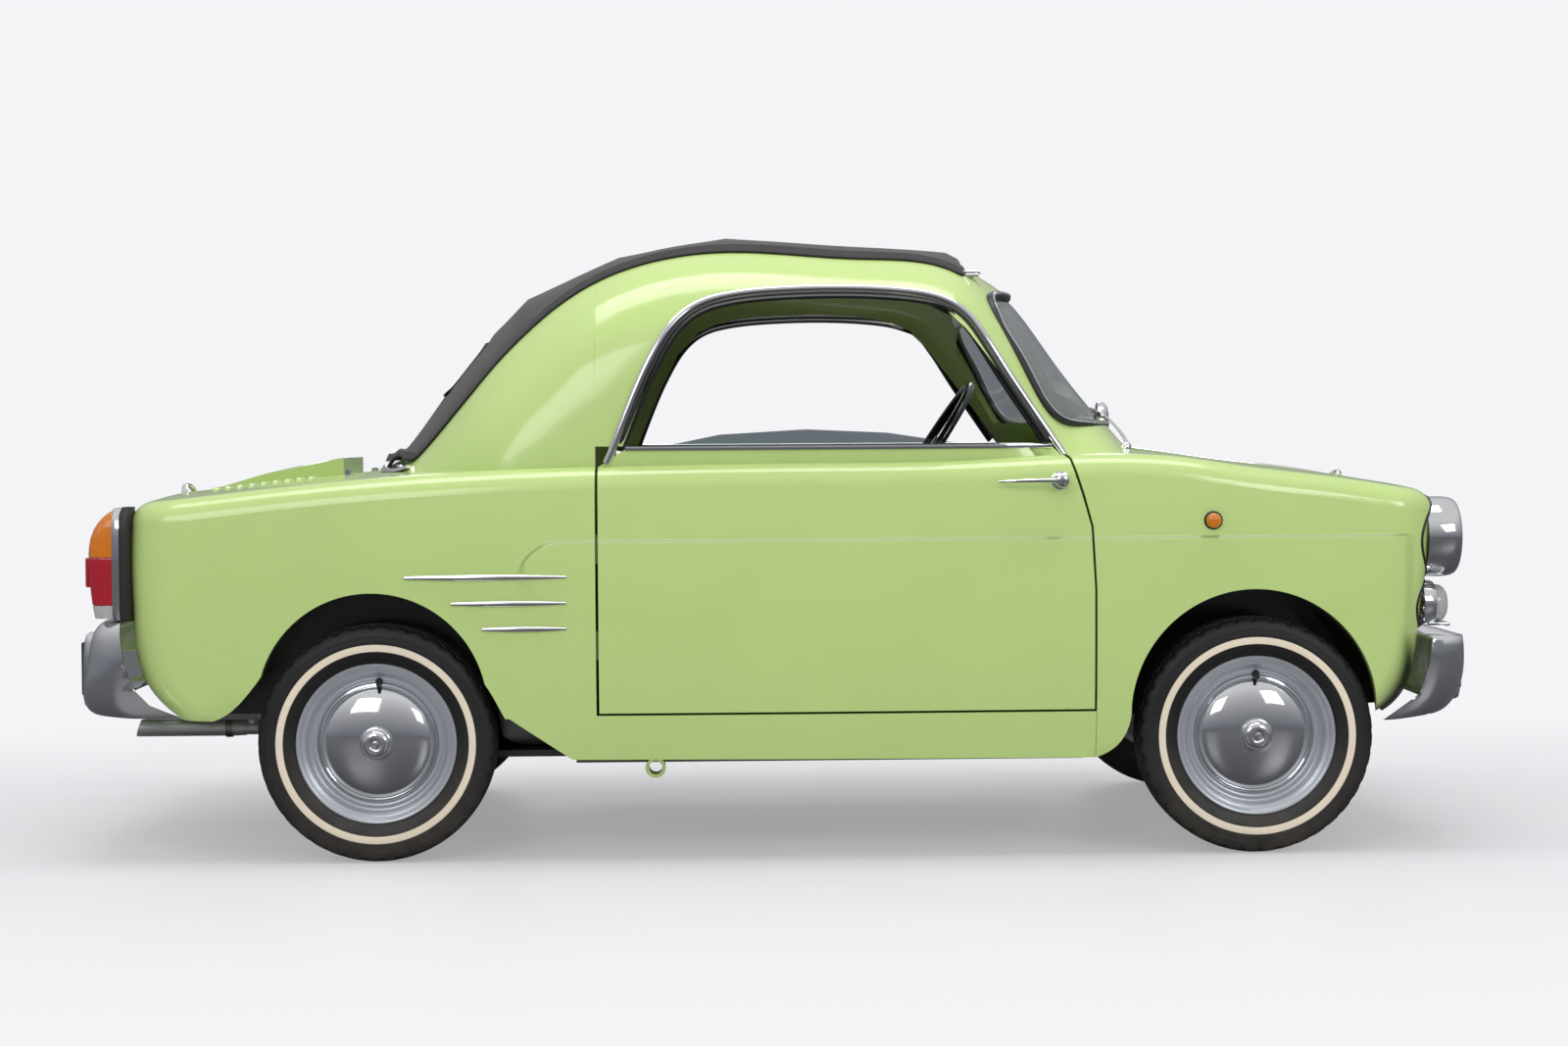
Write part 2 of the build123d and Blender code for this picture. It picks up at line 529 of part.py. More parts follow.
rear_y = REAR_TRACK / 2
half = bar((-646.3, -300, 232), (REAR_AXLE_X, -rear_y + 75, TYRE_RADIUS), 22)
half = half + y_disc(REAR_AXLE_X, (-rear_y - 5, -110.3), TYRE_RADIUS, STUB_RADIUS)
half = half + y_disc(REAR_AXLE_X, (-rear_y + 36, -rear_y + 42), TYRE_RADIUS, 88)
half = half + bar((-646.3, -300, 232), (-646.3, -110.3, 232), 22)
save("rear_suspension", both_sides(half))


def revolved(points, x, y, outward):
    """A ring profile of (radius, outward) turned about an axle across the car."""
    plane_points = [(x + r, y + outward * s, TYRE_RADIUS) for r, s in points]
    face = make_face(Polyline(*plane_points, close=True))
    return revolve(face, Axis((x, 0, TYRE_RADIUS), (0, 1, 0)), 360)


BARREL = [(146, -46), (165, -46), (165, -42), (152, -42), (150, -36), (137, -30), (137, 30), (150, 36),
          (152, 42), (165, 42), (165, 46), (146, 46), (144, 38), (131, 33), (131, -33), (144, -38)]
DISC = [(20.5, 3), (70, 3), (105, 13), (131.5, 9), (131.5, 3), (105, 7), (70, -3), (60, -3), (60, -33),
        (20.5, -33)]
CAP = [(0, 70), (27, 70), (31, 47), (80, 40), (110, 27), (115, 12.3), (112, 12.3), (107, 24), (78, 37),
       (28, 43), (0, 43)]
TYRE = [(165.3, -47), (172, -51), (205, -61), (232, -57), (243, -51), (248, -40), (248, 40), (243, 51),
        (232, 57), (205, 61), (172, 51), (165.3, 47)]
for end, x, track in (("front", FRONT_AXLE_X, FRONT_TRACK), ("rear", REAR_AXLE_X, REAR_TRACK)):
    for name, side in (("right", -1), ("left", 1)):
        y = side * track / 2
        wheel = revolved(BARREL, x, y, side) + revolved(DISC, x, y, side)
        cap = revolved(CAP, x, y, side)
        save(f"{end}_{name}_wheel", Compound(children=list(wheel.solids()) + list(cap.solids())))
        save(f"{end}_{name}_tyre", revolved(TYRE, x, y, side))

# ------------------------------------------------------------------------------ bumpers and lamps
# height, half width less the waist's, nose x, tail x of each bumper's outer face
FRONT_BUMPER = ((278, -22, 1375, -1300), (300, -10, 1428, -1300), (360, 2, 1459, -1300),
                (425, 4, 1463, -1300), (452, 2, 1461, -1300))
REAR_BUMPER = ((305, -22, 1300, -1405), (322, -12, 1300, -1459), (363, -4, 1300, -1466),
               (440, 0, 1300, -1452), (478, -4, 1300, -1444), (505, -10, 1300, -1420))
BUMPER_BRACKET_Y = (-345, -315)
OVERRIDER_Y = ((-360, -300), (300, 360))


def front_stack(inset):
    """All that lies within the front bumper's outer face, or inset from it."""
    return loft([plan_outline(z, narrower - inset, nose - inset, tail)
                 for z, narrower, nose, tail in FRONT_BUMPER])


def rear_stack(inset):
    """All that lies within the rear bumper's outer face, or inset from it."""
    return loft([plan_outline(z, narrower - inset, nose, tail + inset)
                 for z, narrower, nose, tail in REAR_BUMPER])


def with_overriders(bumper, bracket, overriders):
    """One node of a bumper with its two brackets, and the over-riders that stand on it."""
    whole = bumper + bracket + mirrored(bracket)
    return Compound(children=[whole] + [solid for each in overriders for solid in each.solids()])


front_profile = [(1266, 276), (1339, 332), (1361, 397), (1371, 470), (1371, 600), (1520, 600), (1520, 200),
                 (1266, 200)]
front_bumper = front_stack(0) - (Pos(0, 0, -5) * front_stack(5))
front_bumper = (front_bumper & side_prism(front_profile, (-FAR, FAR))) - body_stack(PANEL_GAP) - front_wells
front_overriders = [block((1440, 1509), y, (296, 432)) - front_stack(-SEAT_GAP) for y in OVERRIDER_Y]
front_bracket = (block((1340, 1480), BUMPER_BRACKET_Y, (385, 425)) & front_stack(0)) - body_stack(PANEL_GAP)
save("front_bumper", with_overriders(front_bumper, front_bracket, front_overriders))

rear_profile = [(-1242, 306), (-1305, 332), (-1334, 363), (-1354, 414), (-1363, 475), (-1367, 536),
                (-1500, 536), (-1500, 200), (-1242, 200)]
rear_zone = side_prism(rear_profile, (-FAR, FAR))
rear_bumper = (rear_stack(0) & rear_zone) - (Pos(0, 0, -6) * rear_stack(6)) - body_stack(SEAT_GAP)
rear_overriders = [block((-1509, -1440), y, (305, 466)) - rear_stack(-SEAT_GAP) for y in OVERRIDER_Y]
rear_bracket = (block((-1480, -1340), BUMPER_BRACKET_Y, (385, 425)) & rear_stack(0)) - body_stack(SEAT_GAP)
save("rear_bumper", with_overriders(rear_bumper, rear_bracket, rear_overriders))

nose_seat = Pos(LAMP_GAP, 0, 0) * lower_body
lamps = []
for side in (-1, 1):
    headlight = x_disc((1330, 1442), side * 524, 660, 84) - nose_seat
    turn_lamp = x_disc((1330, 1417), side * 548, 519, 46) - nose_seat
    lamps += [*headlight.solids(), *turn_lamp.solids()]
save("front_lamps", Compound(children=lamps))
tail_lamp_side = [(-1290, 738), (-1383, 738), (-1399, 728), (-1424, 697), (-1435, 656), (-1432, 574),
                  (-1423, 512), (-1290, 512)]
tail_lamp = Pos(-1365, -565, LOW) * extrude(RectangleRounded(150, 90, 30), HIGH - LOW)
tail_lamp = (tail_lamp & side_prism(tail_lamp_side, (-FAR, 0))) - Pos(-SEAT_GAP, 0, 0) * lower_body
save("tail_lamps", both_sides(tail_lamp))
mirror_stem = bar((846, 575, 800), (846, 585, 905), 6) - lower_body
mirror_head = x_disc((838, 856), 590, 927, 37)
save("wing_mirror", mirror_stem + mirror_head)
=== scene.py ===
"""A small fabric-roofed two-seat car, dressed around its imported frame.

Lengths are in metres. X points forward, Y to the car's left and Z up, as in the frame.
"""
import logging
import math
from dataclasses import dataclass, field
from enum import Enum

import bpy
from mathutils import Matrix, Vector
from mathutils.bvhtree import BVHTree


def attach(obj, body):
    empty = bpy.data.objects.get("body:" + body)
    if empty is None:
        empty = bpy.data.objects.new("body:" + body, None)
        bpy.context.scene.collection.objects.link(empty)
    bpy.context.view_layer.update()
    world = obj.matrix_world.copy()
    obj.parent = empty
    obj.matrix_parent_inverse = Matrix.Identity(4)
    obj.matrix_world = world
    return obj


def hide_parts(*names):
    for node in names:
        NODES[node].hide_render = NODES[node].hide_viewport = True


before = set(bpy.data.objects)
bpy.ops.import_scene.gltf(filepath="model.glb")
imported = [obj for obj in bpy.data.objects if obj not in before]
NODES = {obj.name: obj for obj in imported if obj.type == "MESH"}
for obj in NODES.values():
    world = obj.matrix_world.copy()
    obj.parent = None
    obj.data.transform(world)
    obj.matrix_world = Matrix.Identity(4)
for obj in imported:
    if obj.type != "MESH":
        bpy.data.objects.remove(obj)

log = logging.getLogger("car")
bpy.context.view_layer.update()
Point = tuple[float, float, float]
Flat = tuple[float, float]
DUST = (0.23, 0.19, 0.14, 1)
# Painted shade inside the wheel wells: a dark copy of the body green.
WELL_PAINTED_SHADE = (0.018, 0.021, 0.014, 1)


class Side(Enum):
    """The two sides of the car, with the sign of Y."""

    RIGHT = -1
    LEFT = 1

    @property
    def word(self) -> str:
        """The side's name, as the nodes spell it."""
        return self.name.lower()


class Pattern(Enum):
    """The fine relief that a finish carries."""

    PEEL = "peel"
    GRAIN = "grain"
    WEAVE = "weave"
    BRUSHED = "brushed"
    RIBS = "ribs"


# ---------------------------------------------------------------------------- shader groups
@dataclass
class Graph:
    """A node tree, with short ways to add nodes to it."""

    tree: bpy.types.NodeTree

    def node(self, kind: str, inputs: dict[str | int, object], **settings: object) -> bpy.types.Node:
        """Add a node.

        Args:
            kind: its type, without the word ShaderNode.
            inputs: a socket or a value for each input, by name or place.
            settings: its own properties, set first.

        Returns:
            The node.
        """
        node = self.tree.nodes.new(f"ShaderNode{kind}")
        for key, value in settings.items():
            setattr(node, key, value)
        for key, value in inputs.items():
            self.feed(node.inputs[key], value)
        return node

    def feed(self, socket: bpy.types.NodeSocket, value: object) -> None:
        """Link a socket to another, or set its value."""
        if isinstance(value, bpy.types.NodeSocket):
            self.tree.links.new(value, socket)
        else:
            socket.default_value = value

    def maths(self, operation: str, first: object, second: object = 0.0,
              clamp: bool = False) -> bpy.types.NodeSocket:
        """One step of arithmetic on sockets or numbers."""
        return self.node("Math", {0: first, 1: second}, operation=operation, use_clamp=clamp).outputs[0]

    def ramp(self, value: object, low: object, high: object, start: object = 0.0, end: object = 1.0,
             smooth: bool = True) -> bpy.types.NodeSocket:
        """A change from one value to another between two limits, smooth or straight."""
        inputs = {0: value, 1: low, 2: high, 3: start, 4: end}
        return self.node("MapRange", inputs,
                         interpolation_type="SMOOTHSTEP" if smooth else "LINEAR").outputs[0]

    def blend(self, share: object, first: object, second: object) -> bpy.types.NodeSocket:
        """A mix of two colours."""
        return self.node("Mix", {"Factor": share, "A": first, "B": second},
                         data_type="RGBA").outputs["Result"]


class Group(Graph):
    """A node group with its input and output nodes."""

    def __init__(self, name: str, inputs: dict[str, tuple[str, object]], outputs: dict[str, str]) -> None:
        """Start the group.

        Args:
            name: the group's name.
            inputs: socket name to (kind, default).
            outputs: socket name to kind.
        """
        super().__init__(bpy.data.node_groups.new(name, "ShaderNodeTree"))
        add_socket = self.tree.interface.new_socket
        for label, (kind, value) in inputs.items():
            socket = add_socket(name=label, in_out="INPUT", socket_type=f"NodeSocket{kind}")
            if value is not None:
                socket.default_value = value
        for label, kind in outputs.items():
            add_socket(name=label, in_out="OUTPUT", socket_type=f"NodeSocket{kind}")
        self.given = self.tree.nodes.new("NodeGroupInput").outputs
        self.result = self.tree.nodes.new("NodeGroupOutput").inputs


class SharedEffects:
    """Effects that several finishes use, each built once as a node group."""

    def __init__(self) -> None:
        """Build every group."""
        self.tone = self._tone()
        self.relief = {pattern: self._relief(pattern) for pattern in Pattern}
        self.grime = self._grime()
        self.pressing = self._pressing()

    @staticmethod
    def _tone() -> bpy.types.ShaderNodeTree:
        """Slow drift of a colour's lightness over the surface."""
        group = Group("Tone", {"Vector": ("Vector", None), "Colour": ("Color", (1, 1, 1, 1)),
                               "Drift": ("Float", 0.05), "Scale": ("Float", 6.0)},
                      {"Colour": "Color", "Mask": "Float"})
        given = group.given
        noise = group.node("TexNoise", {"Vector": given["Vector"], "Scale": given["Scale"],
                                        "Detail": 5.0}).outputs[0]
        low = group.maths("SUBTRACT", 1.0, given["Drift"])
        high = group.maths("ADD", 1.0, given["Drift"])
        value = group.ramp(noise, 0.3, 0.7, low, high, smooth=False)
        hue = group.node("HueSaturation", {"Color": given["Colour"], "Value": value})
        group.feed(group.result["Colour"], hue.outputs[0])
        group.feed(group.result["Mask"], noise)
        return group.tree

    @staticmethod
    def _relief(pattern: Pattern) -> bpy.types.ShaderNodeTree:
        """The height field of one pattern.

        Args:
            pattern: which relief.

        Returns:
            The group's tree, with Vector and Scale in and Height out.
        """
        group = Group(f"Relief {pattern.value}", {"Vector": ("Vector", None), "Scale": ("Float", 100.0)},
                      {"Height": "Float"})
        place = {"Vector": group.given["Vector"], "Scale": group.given["Scale"]}
        if pattern is Pattern.WEAVE:
            waves = [group.node("TexWave", {**place, "Distortion": 0.6, "Detail": 1.0},
                                bands_direction=way).outputs[1] for way in ("X", "Y")]
            height = group.maths("MAXIMUM", *waves)
        elif pattern is Pattern.RIBS:
            ribs = group.node("TexWave", {**place, "Distortion": 0.0, "Detail": 1.0}, bands_direction="X")
            height = ribs.outputs[1]
        elif pattern is Pattern.GRAIN:
            height = group.node("TexVoronoi", place, feature="SMOOTH_F1").outputs["Distance"]
        else:
            stretch = (1, 1, 1) if pattern is Pattern.PEEL else (0.04, 1, 1)
            squeezed = group.node("Mapping", {"Vector": place["Vector"], "Scale": stretch}).outputs[0]
            height = group.node("TexNoise", {**place, "Vector": squeezed, "Detail": 2.0}).outputs[0]
        group.feed(group.result["Height"], height)
        return group.tree

    @staticmethod
    def _grime() -> bpy.types.ShaderNodeTree:
        """Road dust that thickens toward the ground."""
        group = Group("Grime", {"Vector": ("Vector", None), "Colour": ("Color", (1, 1, 1, 1)),
                                "Amount": ("Float", 0.1), "Top": ("Float", 0.45)},
                      {"Colour": "Color", "Mask": "Float"})
        given = group.given
        split = group.node("SeparateXYZ", {0: given["Vector"]})
        fall = group.ramp(split.outputs["Z"], 0.0, given["Top"], 1.0, 0.0, smooth=False)
        noise = group.node("TexNoise", {"Vector": given["Vector"], "Scale": 25.0, "Detail": 8.0}).outputs[0]
        share = group.maths("MULTIPLY", group.maths("MULTIPLY", fall, noise), given["Amount"], clamp=True)
        group.feed(group.result["Colour"], group.blend(share, given["Colour"], DUST))
        group.feed(group.result["Mask"], share)
        return group.tree

    @staticmethod
    def _pressing(top: float = 0.6715, rear: float = -0.548, front: float = 1.336, radius: float = 0.1,
                  axles: Flat = (-0.84, 0.998), hub: float = 0.3) -> bpy.types.ShaderNodeTree:
        """The raised lower panel of the body sides, and where the wheel wells are.

        Args:
            top: the height of the panel's crisp upper step.
            rear: how far back it reaches, where it curls down.
            front: how far forward it reaches.
            radius: the curl's radius.
            axles: where the wheel wells are along the car.
            hub: the height of the wells' middles.

        Returns:
            The group's tree, with Vector in, Height out (0 outside the panel, 1 on it) and Well out (1 inside
            the wheel wells, where shade is painted).
        """
        group = Group("Pressing", {"Vector": ("Vector", None)}, {"Height": "Float", "Well": "Float"})
        maths, ramp = group.maths, group.ramp
        x, y, z = group.node("SeparateXYZ", {0: group.given["Vector"]}).outputs
        inside = maths("SUBTRACT", x, rear)
        under = maths("SUBTRACT", top, z)
        across = maths("MAXIMUM", maths("SUBTRACT", radius, inside), 0.0)
        upward = maths("MAXIMUM", maths("SUBTRACT", radius, under), 0.0)
        far = maths("SQRT", maths("ADD", maths("MULTIPLY", across, across),
                                  maths("MULTIPLY", upward, upward)))
        depth = maths("SUBTRACT", radius, far)
        breadth = ramp(under, 0.04, 0.2, 0.009, 0.14)
        curl = ramp(depth, 0.0, breadth)
        nose = ramp(x, front - 0.03, front, 1.0, 0.0)
        side = ramp(maths("ABSOLUTE", y), 0.52, 0.56)
        group.feed(group.result["Height"], maths("MULTIPLY", maths("MULTIPLY", curl, nose), side))
        # The Well mask marks the wheel wells' insides, where shade is painted into the body colour.
        raised = maths("SUBTRACT", z, hub)
        wells = []
        for axle in axles:
            offset = maths("SUBTRACT", x, axle)
            squares = maths("ADD", maths("MULTIPLY", offset, offset), maths("MULTIPLY", raised, raised))
            wells.append(ramp(maths("SQRT", squares), 0.34, 0.37, 1.0, 0.0))
        near = ramp(maths("ABSOLUTE", y), 0.596, 0.628, 1.0, 0.0)
        group.feed(group.result["Well"], maths("MULTIPLY", maths("MAXIMUM", *wells), near))
        return group.tree


@dataclass(frozen=True)
class Finish:
    """One surface finish, from which a material is made.

    Attributes are the shader's own values, the size and depth of the relief, and how far tone and
    roughness drift over the surface.
    """

    name: str
    colour: Point
    roughness: float
    pattern: Pattern = Pattern.PEEL
    scale: float = 300.0
    depth: float = 0.02
    metallic: float = 0.0
    coat: float = 0.0
    coat_roughness: float = 0.04
    drift: float = 0.04
    rough_drift: float = 0.06
    grime: float = 0.0
    grime_top: float = 0.45
    sheen: float = 0.0
    transmission: float = 0.0
    ior: float = 1.5
    alpha: float = 1.0
    # pressed: the raised side panel's step, and painted shade inside the wheel wells.
    pressed: bool = False

    def material(self, effects: SharedEffects) -> bpy.types.Material:
        """Make the material.

        Args:
            effects: the shared node groups.

        Returns:
            A new material with its own shader and links.
        """
        material = bpy.data.materials.new(self.name)
        material.use_nodes = True
        graph = Graph(material.node_tree)
        place = graph.node("TexCoord", {}).outputs["Object"]
        tone = graph.node("Group", {"Colour": (*self.colour, 1), "Drift": self.drift, "Scale": 5.0,
                                    "Vector": place}, node_tree=effects.tone)
        colour = tone.outputs["Colour"]
        if self.grime:
            grime = graph.node("Group", {"Amount": self.grime, "Top": self.grime_top, "Vector": place,
                                         "Colour": colour}, node_tree=effects.grime)
            colour = grime.outputs["Colour"]
        relief = graph.node("Group", {"Scale": self.scale, "Vector": place},
                            node_tree=effects.relief[self.pattern])
        bump = graph.node("Bump", {"Strength": min(1.0, self.depth), "Distance": 0.001,
                                   "Height": relief.outputs["Height"]})
        if self.pressed:
            panel = graph.node("Group", {"Vector": place}, node_tree=effects.pressing)
            step = graph.node("Bump", {"Distance": 0.009, "Height": panel.outputs["Height"]})
            graph.feed(bump.inputs["Normal"], step.outputs[0])
            # Painted shade: the body colour goes dark green inside the wheel wells.
            colour = graph.blend(panel.outputs["Well"], colour, WELL_PAINTED_SHADE)
        low, high = max(0.0, self.roughness - self.rough_drift), self.roughness + self.rough_drift
        roughness = graph.ramp(tone.outputs["Mask"], 0.0, 1.0, low, high, smooth=False)
        shader = material.node_tree.nodes["Principled BSDF"]
        for key, value in (("Base Color", colour), ("Roughness", roughness), ("Normal", bump.outputs[0]),
                           ("Metallic", self.metallic), ("Coat Weight", self.coat),
                           ("Coat Roughness", self.coat_roughness), ("Sheen Weight", self.sheen),
                           ("Transmission Weight", self.transmission), ("IOR", self.ior),
                           ("Alpha", self.alpha)):
            graph.feed(shader.inputs[key], value)
        return material


LIME = (0.485, 0.635, 0.225)
FINISHES = (
    Finish("Lime enamel", LIME, 0.17, scale=450, depth=0.03, coat=0.25, drift=0.015, rough_drift=0.03,
           grime=0.08, grime_top=0.5, pressed=True),
    Finish("Inner lime enamel", (0.42, 0.58, 0.18), 0.42, scale=450, depth=0.05, coat=0.3, grime=0.25,
           grime_top=0.6),
    Finish("Bright chrome", (0.83, 0.84, 0.86), 0.07, scale=60, depth=0.01, metallic=1.0, drift=0.03,
           rough_drift=0.03),
    Finish("Silver wheel paint", (0.5, 0.53, 0.58), 0.34, scale=500, depth=0.06, metallic=0.55, coat=0.25,
           grime=0.15, grime_top=0.5),
    Finish("Tyre rubber", (0.009, 0.009, 0.0095), 0.55, scale=380, depth=0.25, grime=0.3, grime_top=0.3,
           drift=0.12),
    Finish("Whitewall rubber", (0.8, 0.7, 0.55), 0.55, scale=380, depth=0.1, grime=0.12, grime_top=0.5,
           drift=0.05),
    Finish("Charcoal canvas", (0.04, 0.037, 0.038), 0.82, Pattern.WEAVE, 260, 0.55, sheen=0.15, drift=0.12),
    Finish("Canvas binding", (0.012, 0.012, 0.013), 0.6, Pattern.WEAVE, 420, 0.4, drift=0.08),
    Finish("Seal rubber", (0.018, 0.018, 0.019), 0.48, scale=300, depth=0.1, drift=0.1),
    Finish("Window glass", (0.9, 0.97, 0.94), 0.0, scale=8, depth=0.0, rough_drift=0.0, transmission=1.0,
           ior=1.45, drift=0.0),
    Finish("Lamp glass", (0.97, 0.98, 1.0), 0.02, Pattern.RIBS, 60, 0.5, rough_drift=0.01, transmission=1.0,
           ior=1.5, drift=0.0),
    Finish("Lamp bowl", (0.85, 0.86, 0.88), 0.16, scale=200, depth=0.03, metallic=1.0),
    Finish("Amber lens", (0.92, 0.27, 0.015), 0.12, Pattern.RIBS, 70, 0.6, transmission=0.35, coat=0.6,
           drift=0.03),
    Finish("Red lens", (0.5, 0.015, 0.03), 0.12, Pattern.RIBS, 70, 0.6, transmission=0.25, coat=0.6,
           drift=0.03),
    Finish("Clear lens", (0.8, 0.8, 0.78), 0.12, Pattern.RIBS, 70, 0.6, transmission=0.55, coat=0.6,
           drift=0.02),
    Finish("Cream leathercloth", (0.58, 0.53, 0.42), 0.48, Pattern.GRAIN, 420, 0.35, sheen=0.05, drift=0.05),
    Finish("Grey leathercloth", (0.16, 0.165, 0.16), 0.5, Pattern.GRAIN, 420, 0.35, sheen=0.05, drift=0.06),
    Finish("Piping", (0.5, 0.49, 0.45), 0.45, scale=300, depth=0.1),
    Finish("Rubber mat", (0.03, 0.03, 0.03), 0.62, Pattern.RIBS, 90, 0.8, grime=0.3, grime_top=0.6),
    Finish("Underseal", (0.028, 0.029, 0.028), 0.75, scale=160, depth=0.6, grime=0.4, grime_top=0.5),
    Finish("Bare steel", (0.42, 0.42, 0.43), 0.38, Pattern.BRUSHED, 220, 0.15, metallic=1.0, grime=0.3,
           grime_top=0.5),
    Finish("Cast alloy", (0.46, 0.46, 0.45), 0.5, scale=260, depth=0.35, metallic=0.9, grime=0.35,
           grime_top=0.6),
    Finish("Exhaust wrap", (0.8, 0.8, 0.81), 0.42, Pattern.BRUSHED, 140, 0.6, metallic=0.9, drift=0.15),
    Finish("Black moulding", (0.016, 0.016, 0.017), 0.22, scale=300, depth=0.03, coat=0.5),
    Finish("Dial face", (0.75, 0.74, 0.68), 0.35, scale=300, depth=0.02),
    Finish("Clear roof sheet", (0.86, 0.88, 0.86), 0.08, scale=12, depth=0.15, transmission=0.92, ior=1.4,
           drift=0.02),
)


class Paintbox:
    """Every material by name."""

    def __init__(self) -> None:
        """Make the shared effects and all the finishes."""
        effects = SharedEffects()
        self.pots = {finish.name: finish.material(effects) for finish in FINISHES}

    def __getitem__(self, name: str) -> bpy.types.Material:
        """The material of that name."""
        return self.pots[name]


# ---------------------------------------------------------------------------- shop tools
def rest_all() -> None:
    """Leave edit mode and select nothing."""
    if bpy.context.object and bpy.context.object.mode != "OBJECT":
        bpy.ops.object.mode_set(mode="OBJECT")
    bpy.ops.object.select_all(action="DESELECT")


def pick(obj: bpy.types.Object) -> None:
    """Select one object alone and make it active."""
    rest_all()
    obj.select_set(True)
    bpy.context.view_layer.objects.active = obj


def apply_all(obj: bpy.types.Object) -> None:
    """Apply an object's modifiers in order."""
    pick(obj)
    for modifier in list(obj.modifiers):
        bpy.ops.object.modifier_apply(modifier=modifier.name)


def edit(obj: bpy.types.Object, mode: str = "VERT", whole: bool = True) -> None:
    """Open an object for editing.

    Args:
        obj: the object.
        mode: VERT, EDGE or FACE, what a selection is made of.
        whole: selects everything; otherwise the selection is what the mesh's own flags say.
    """
    pick(obj)
    bpy.context.tool_settings.mesh_select_mode = [mode == kind for kind in ("VERT", "EDGE", "FACE")]
    bpy.ops.object.mode_set(mode="EDIT")
    if whole:
        bpy.ops.mesh.select_all(action="SELECT")


def close_edit() -> None:
    """Leave edit mode."""
    bpy.ops.object.mode_set(mode="OBJECT")


def add_modifier(obj: bpy.types.Object, kind: str, **settings: object) -> bpy.types.Modifier:
    """Add one modifier with its settings, and return it."""
    modifier = obj.modifiers.new(kind.title(), kind)
    for key, value in settings.items():
        setattr(modifier, key, value)
    return modifier


def settle(obj: bpy.types.Object, name: str, material: bpy.types.Material, smooth: float = 35.0,
           body: str = "body") -> bpy.types.Object:
    """Finish a piece: modifiers and place applied, faces outward, smooth, painted and riding.

    Args:
        obj: the piece.
        name: its name.
        material: its finish.
        smooth: the angle in degrees under which edges are shaded smooth.
        body: the CAD body that it moves with.

    Returns:
        The same object.
    """
    apply_all(obj)
    bpy.ops.object.transform_apply(location=True, rotation=True, scale=True)
    edit(obj)
    bpy.ops.mesh.remove_doubles(threshold=0.00002)
    bpy.ops.mesh.normals_make_consistent(inside=False)
    close_edit()
    bpy.ops.object.shade_smooth_by_angle(angle=math.radians(smooth))
    obj.name = name
    obj.data.name = name
    obj.data.materials.clear()
    obj.data.materials.append(material)
    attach(obj, body)
    return obj


def join(pieces: list[bpy.types.Object]) -> bpy.types.Object:
    """Join unfinished pieces into one object.

    Args:
        pieces: mesh objects, the first of which keeps its name.

    Returns:
        The joined object.
    """
    rest_all()
    for piece in pieces:
        piece.select_set(True)
    bpy.context.view_layer.objects.active = pieces[0]
    bpy.ops.object.join()
    return pieces[0]


def again(obj: bpy.types.Object, name: str, body: str, shift: Point = (0, 0, 0),
          mirror: bool = True) -> bpy.types.Object:
    """Copy a finished piece to another place.

    Args:
        obj: the finished piece.
        name: the copy's name.
        body: the body the copy moves with.
        shift: how far it moves, before it is mirrored.
        mirror: whether it goes to the other side of the car.

    Returns:
        The copy, with its own mesh.
    """
    copy = obj.copy()
    copy.data = obj.data.copy()
    bpy.context.scene.collection.objects.link(copy)
    for key in list(copy.keys()):
        del copy[key]
    copy.parent = None
    copy.matrix_world = Matrix.Identity(4)
    copy.data.transform(Matrix.Translation(shift))
    if mirror:
        copy.data.transform(Matrix.Diagonal((1, -1, 1, 1)))
        copy.data.flip_normals()
    copy.name = name
    copy.data.name = name
    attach(copy, body)
    return copy


def pair(obj: bpy.types.Object, stem: str, material: bpy.types.Material, smooth: float = 35.0,
         body: str = "body") -> None:
    """Finish a piece on the right and copy it to the left.

    Args:
        obj: the right-hand piece.
        stem: the pieces' name after right_ and left_.
        material: their finish.
        smooth: the shading angle in degrees.
        body: the body that the right-hand piece moves with.
    """
    piece = settle(obj, f"right_{stem}", material, smooth, body)
    again(piece, f"left_{stem}", body.replace("right", "left"))


def turned(stations: list[Flat], centre: Point, axis: str = "Y", outward: int = 1,
           steps: int = 96) -> bpy.types.Object:
    """Turn a profile round an axis, ring after ring.

    Args:
        stations: (radius, distance along the axis), in order; a radius of 0 closes the shape.
        centre: where the axis starts.
        axis: X, Y or Z.
        outward: 1 or -1, the sense of the distances.
        steps: points in each ring.

    Returns:
        The open or closed shell.
    """
    turn = {"X": (0, math.pi / 2, 0), "Y": (math.pi / 2, 0, 0), "Z": (0, 0, 0)}[axis]
    along = Vector([float(axis == letter) for letter in "XYZ"]) * outward
    keep = [axis == letter for letter in "XYZ"]
    start = Vector(centre) + along * stations[0][1]
    rest_all()
    bpy.ops.mesh.primitive_circle_add(vertices=steps, radius=stations[0][0], location=start, rotation=turn)
    obj = bpy.context.object
    bpy.ops.object.transform_apply(location=True, rotation=True, scale=True)
    edit(obj)
    for (radius, reach), (next_radius, next_reach) in zip(stations, stations[1:]):
        move = along * (next_reach - reach)
        bpy.ops.mesh.extrude_region_move(TRANSFORM_OT_translate={"value": move})
        if next_radius == 0:
            bpy.ops.mesh.merge(type="CENTER")
            break
        share = next_radius / radius
        spot = Vector(centre) + along * next_reach
        bpy.ops.transform.resize(value=[1.0 if held else share for held in keep], center_override=spot)
    close_edit()
    return obj


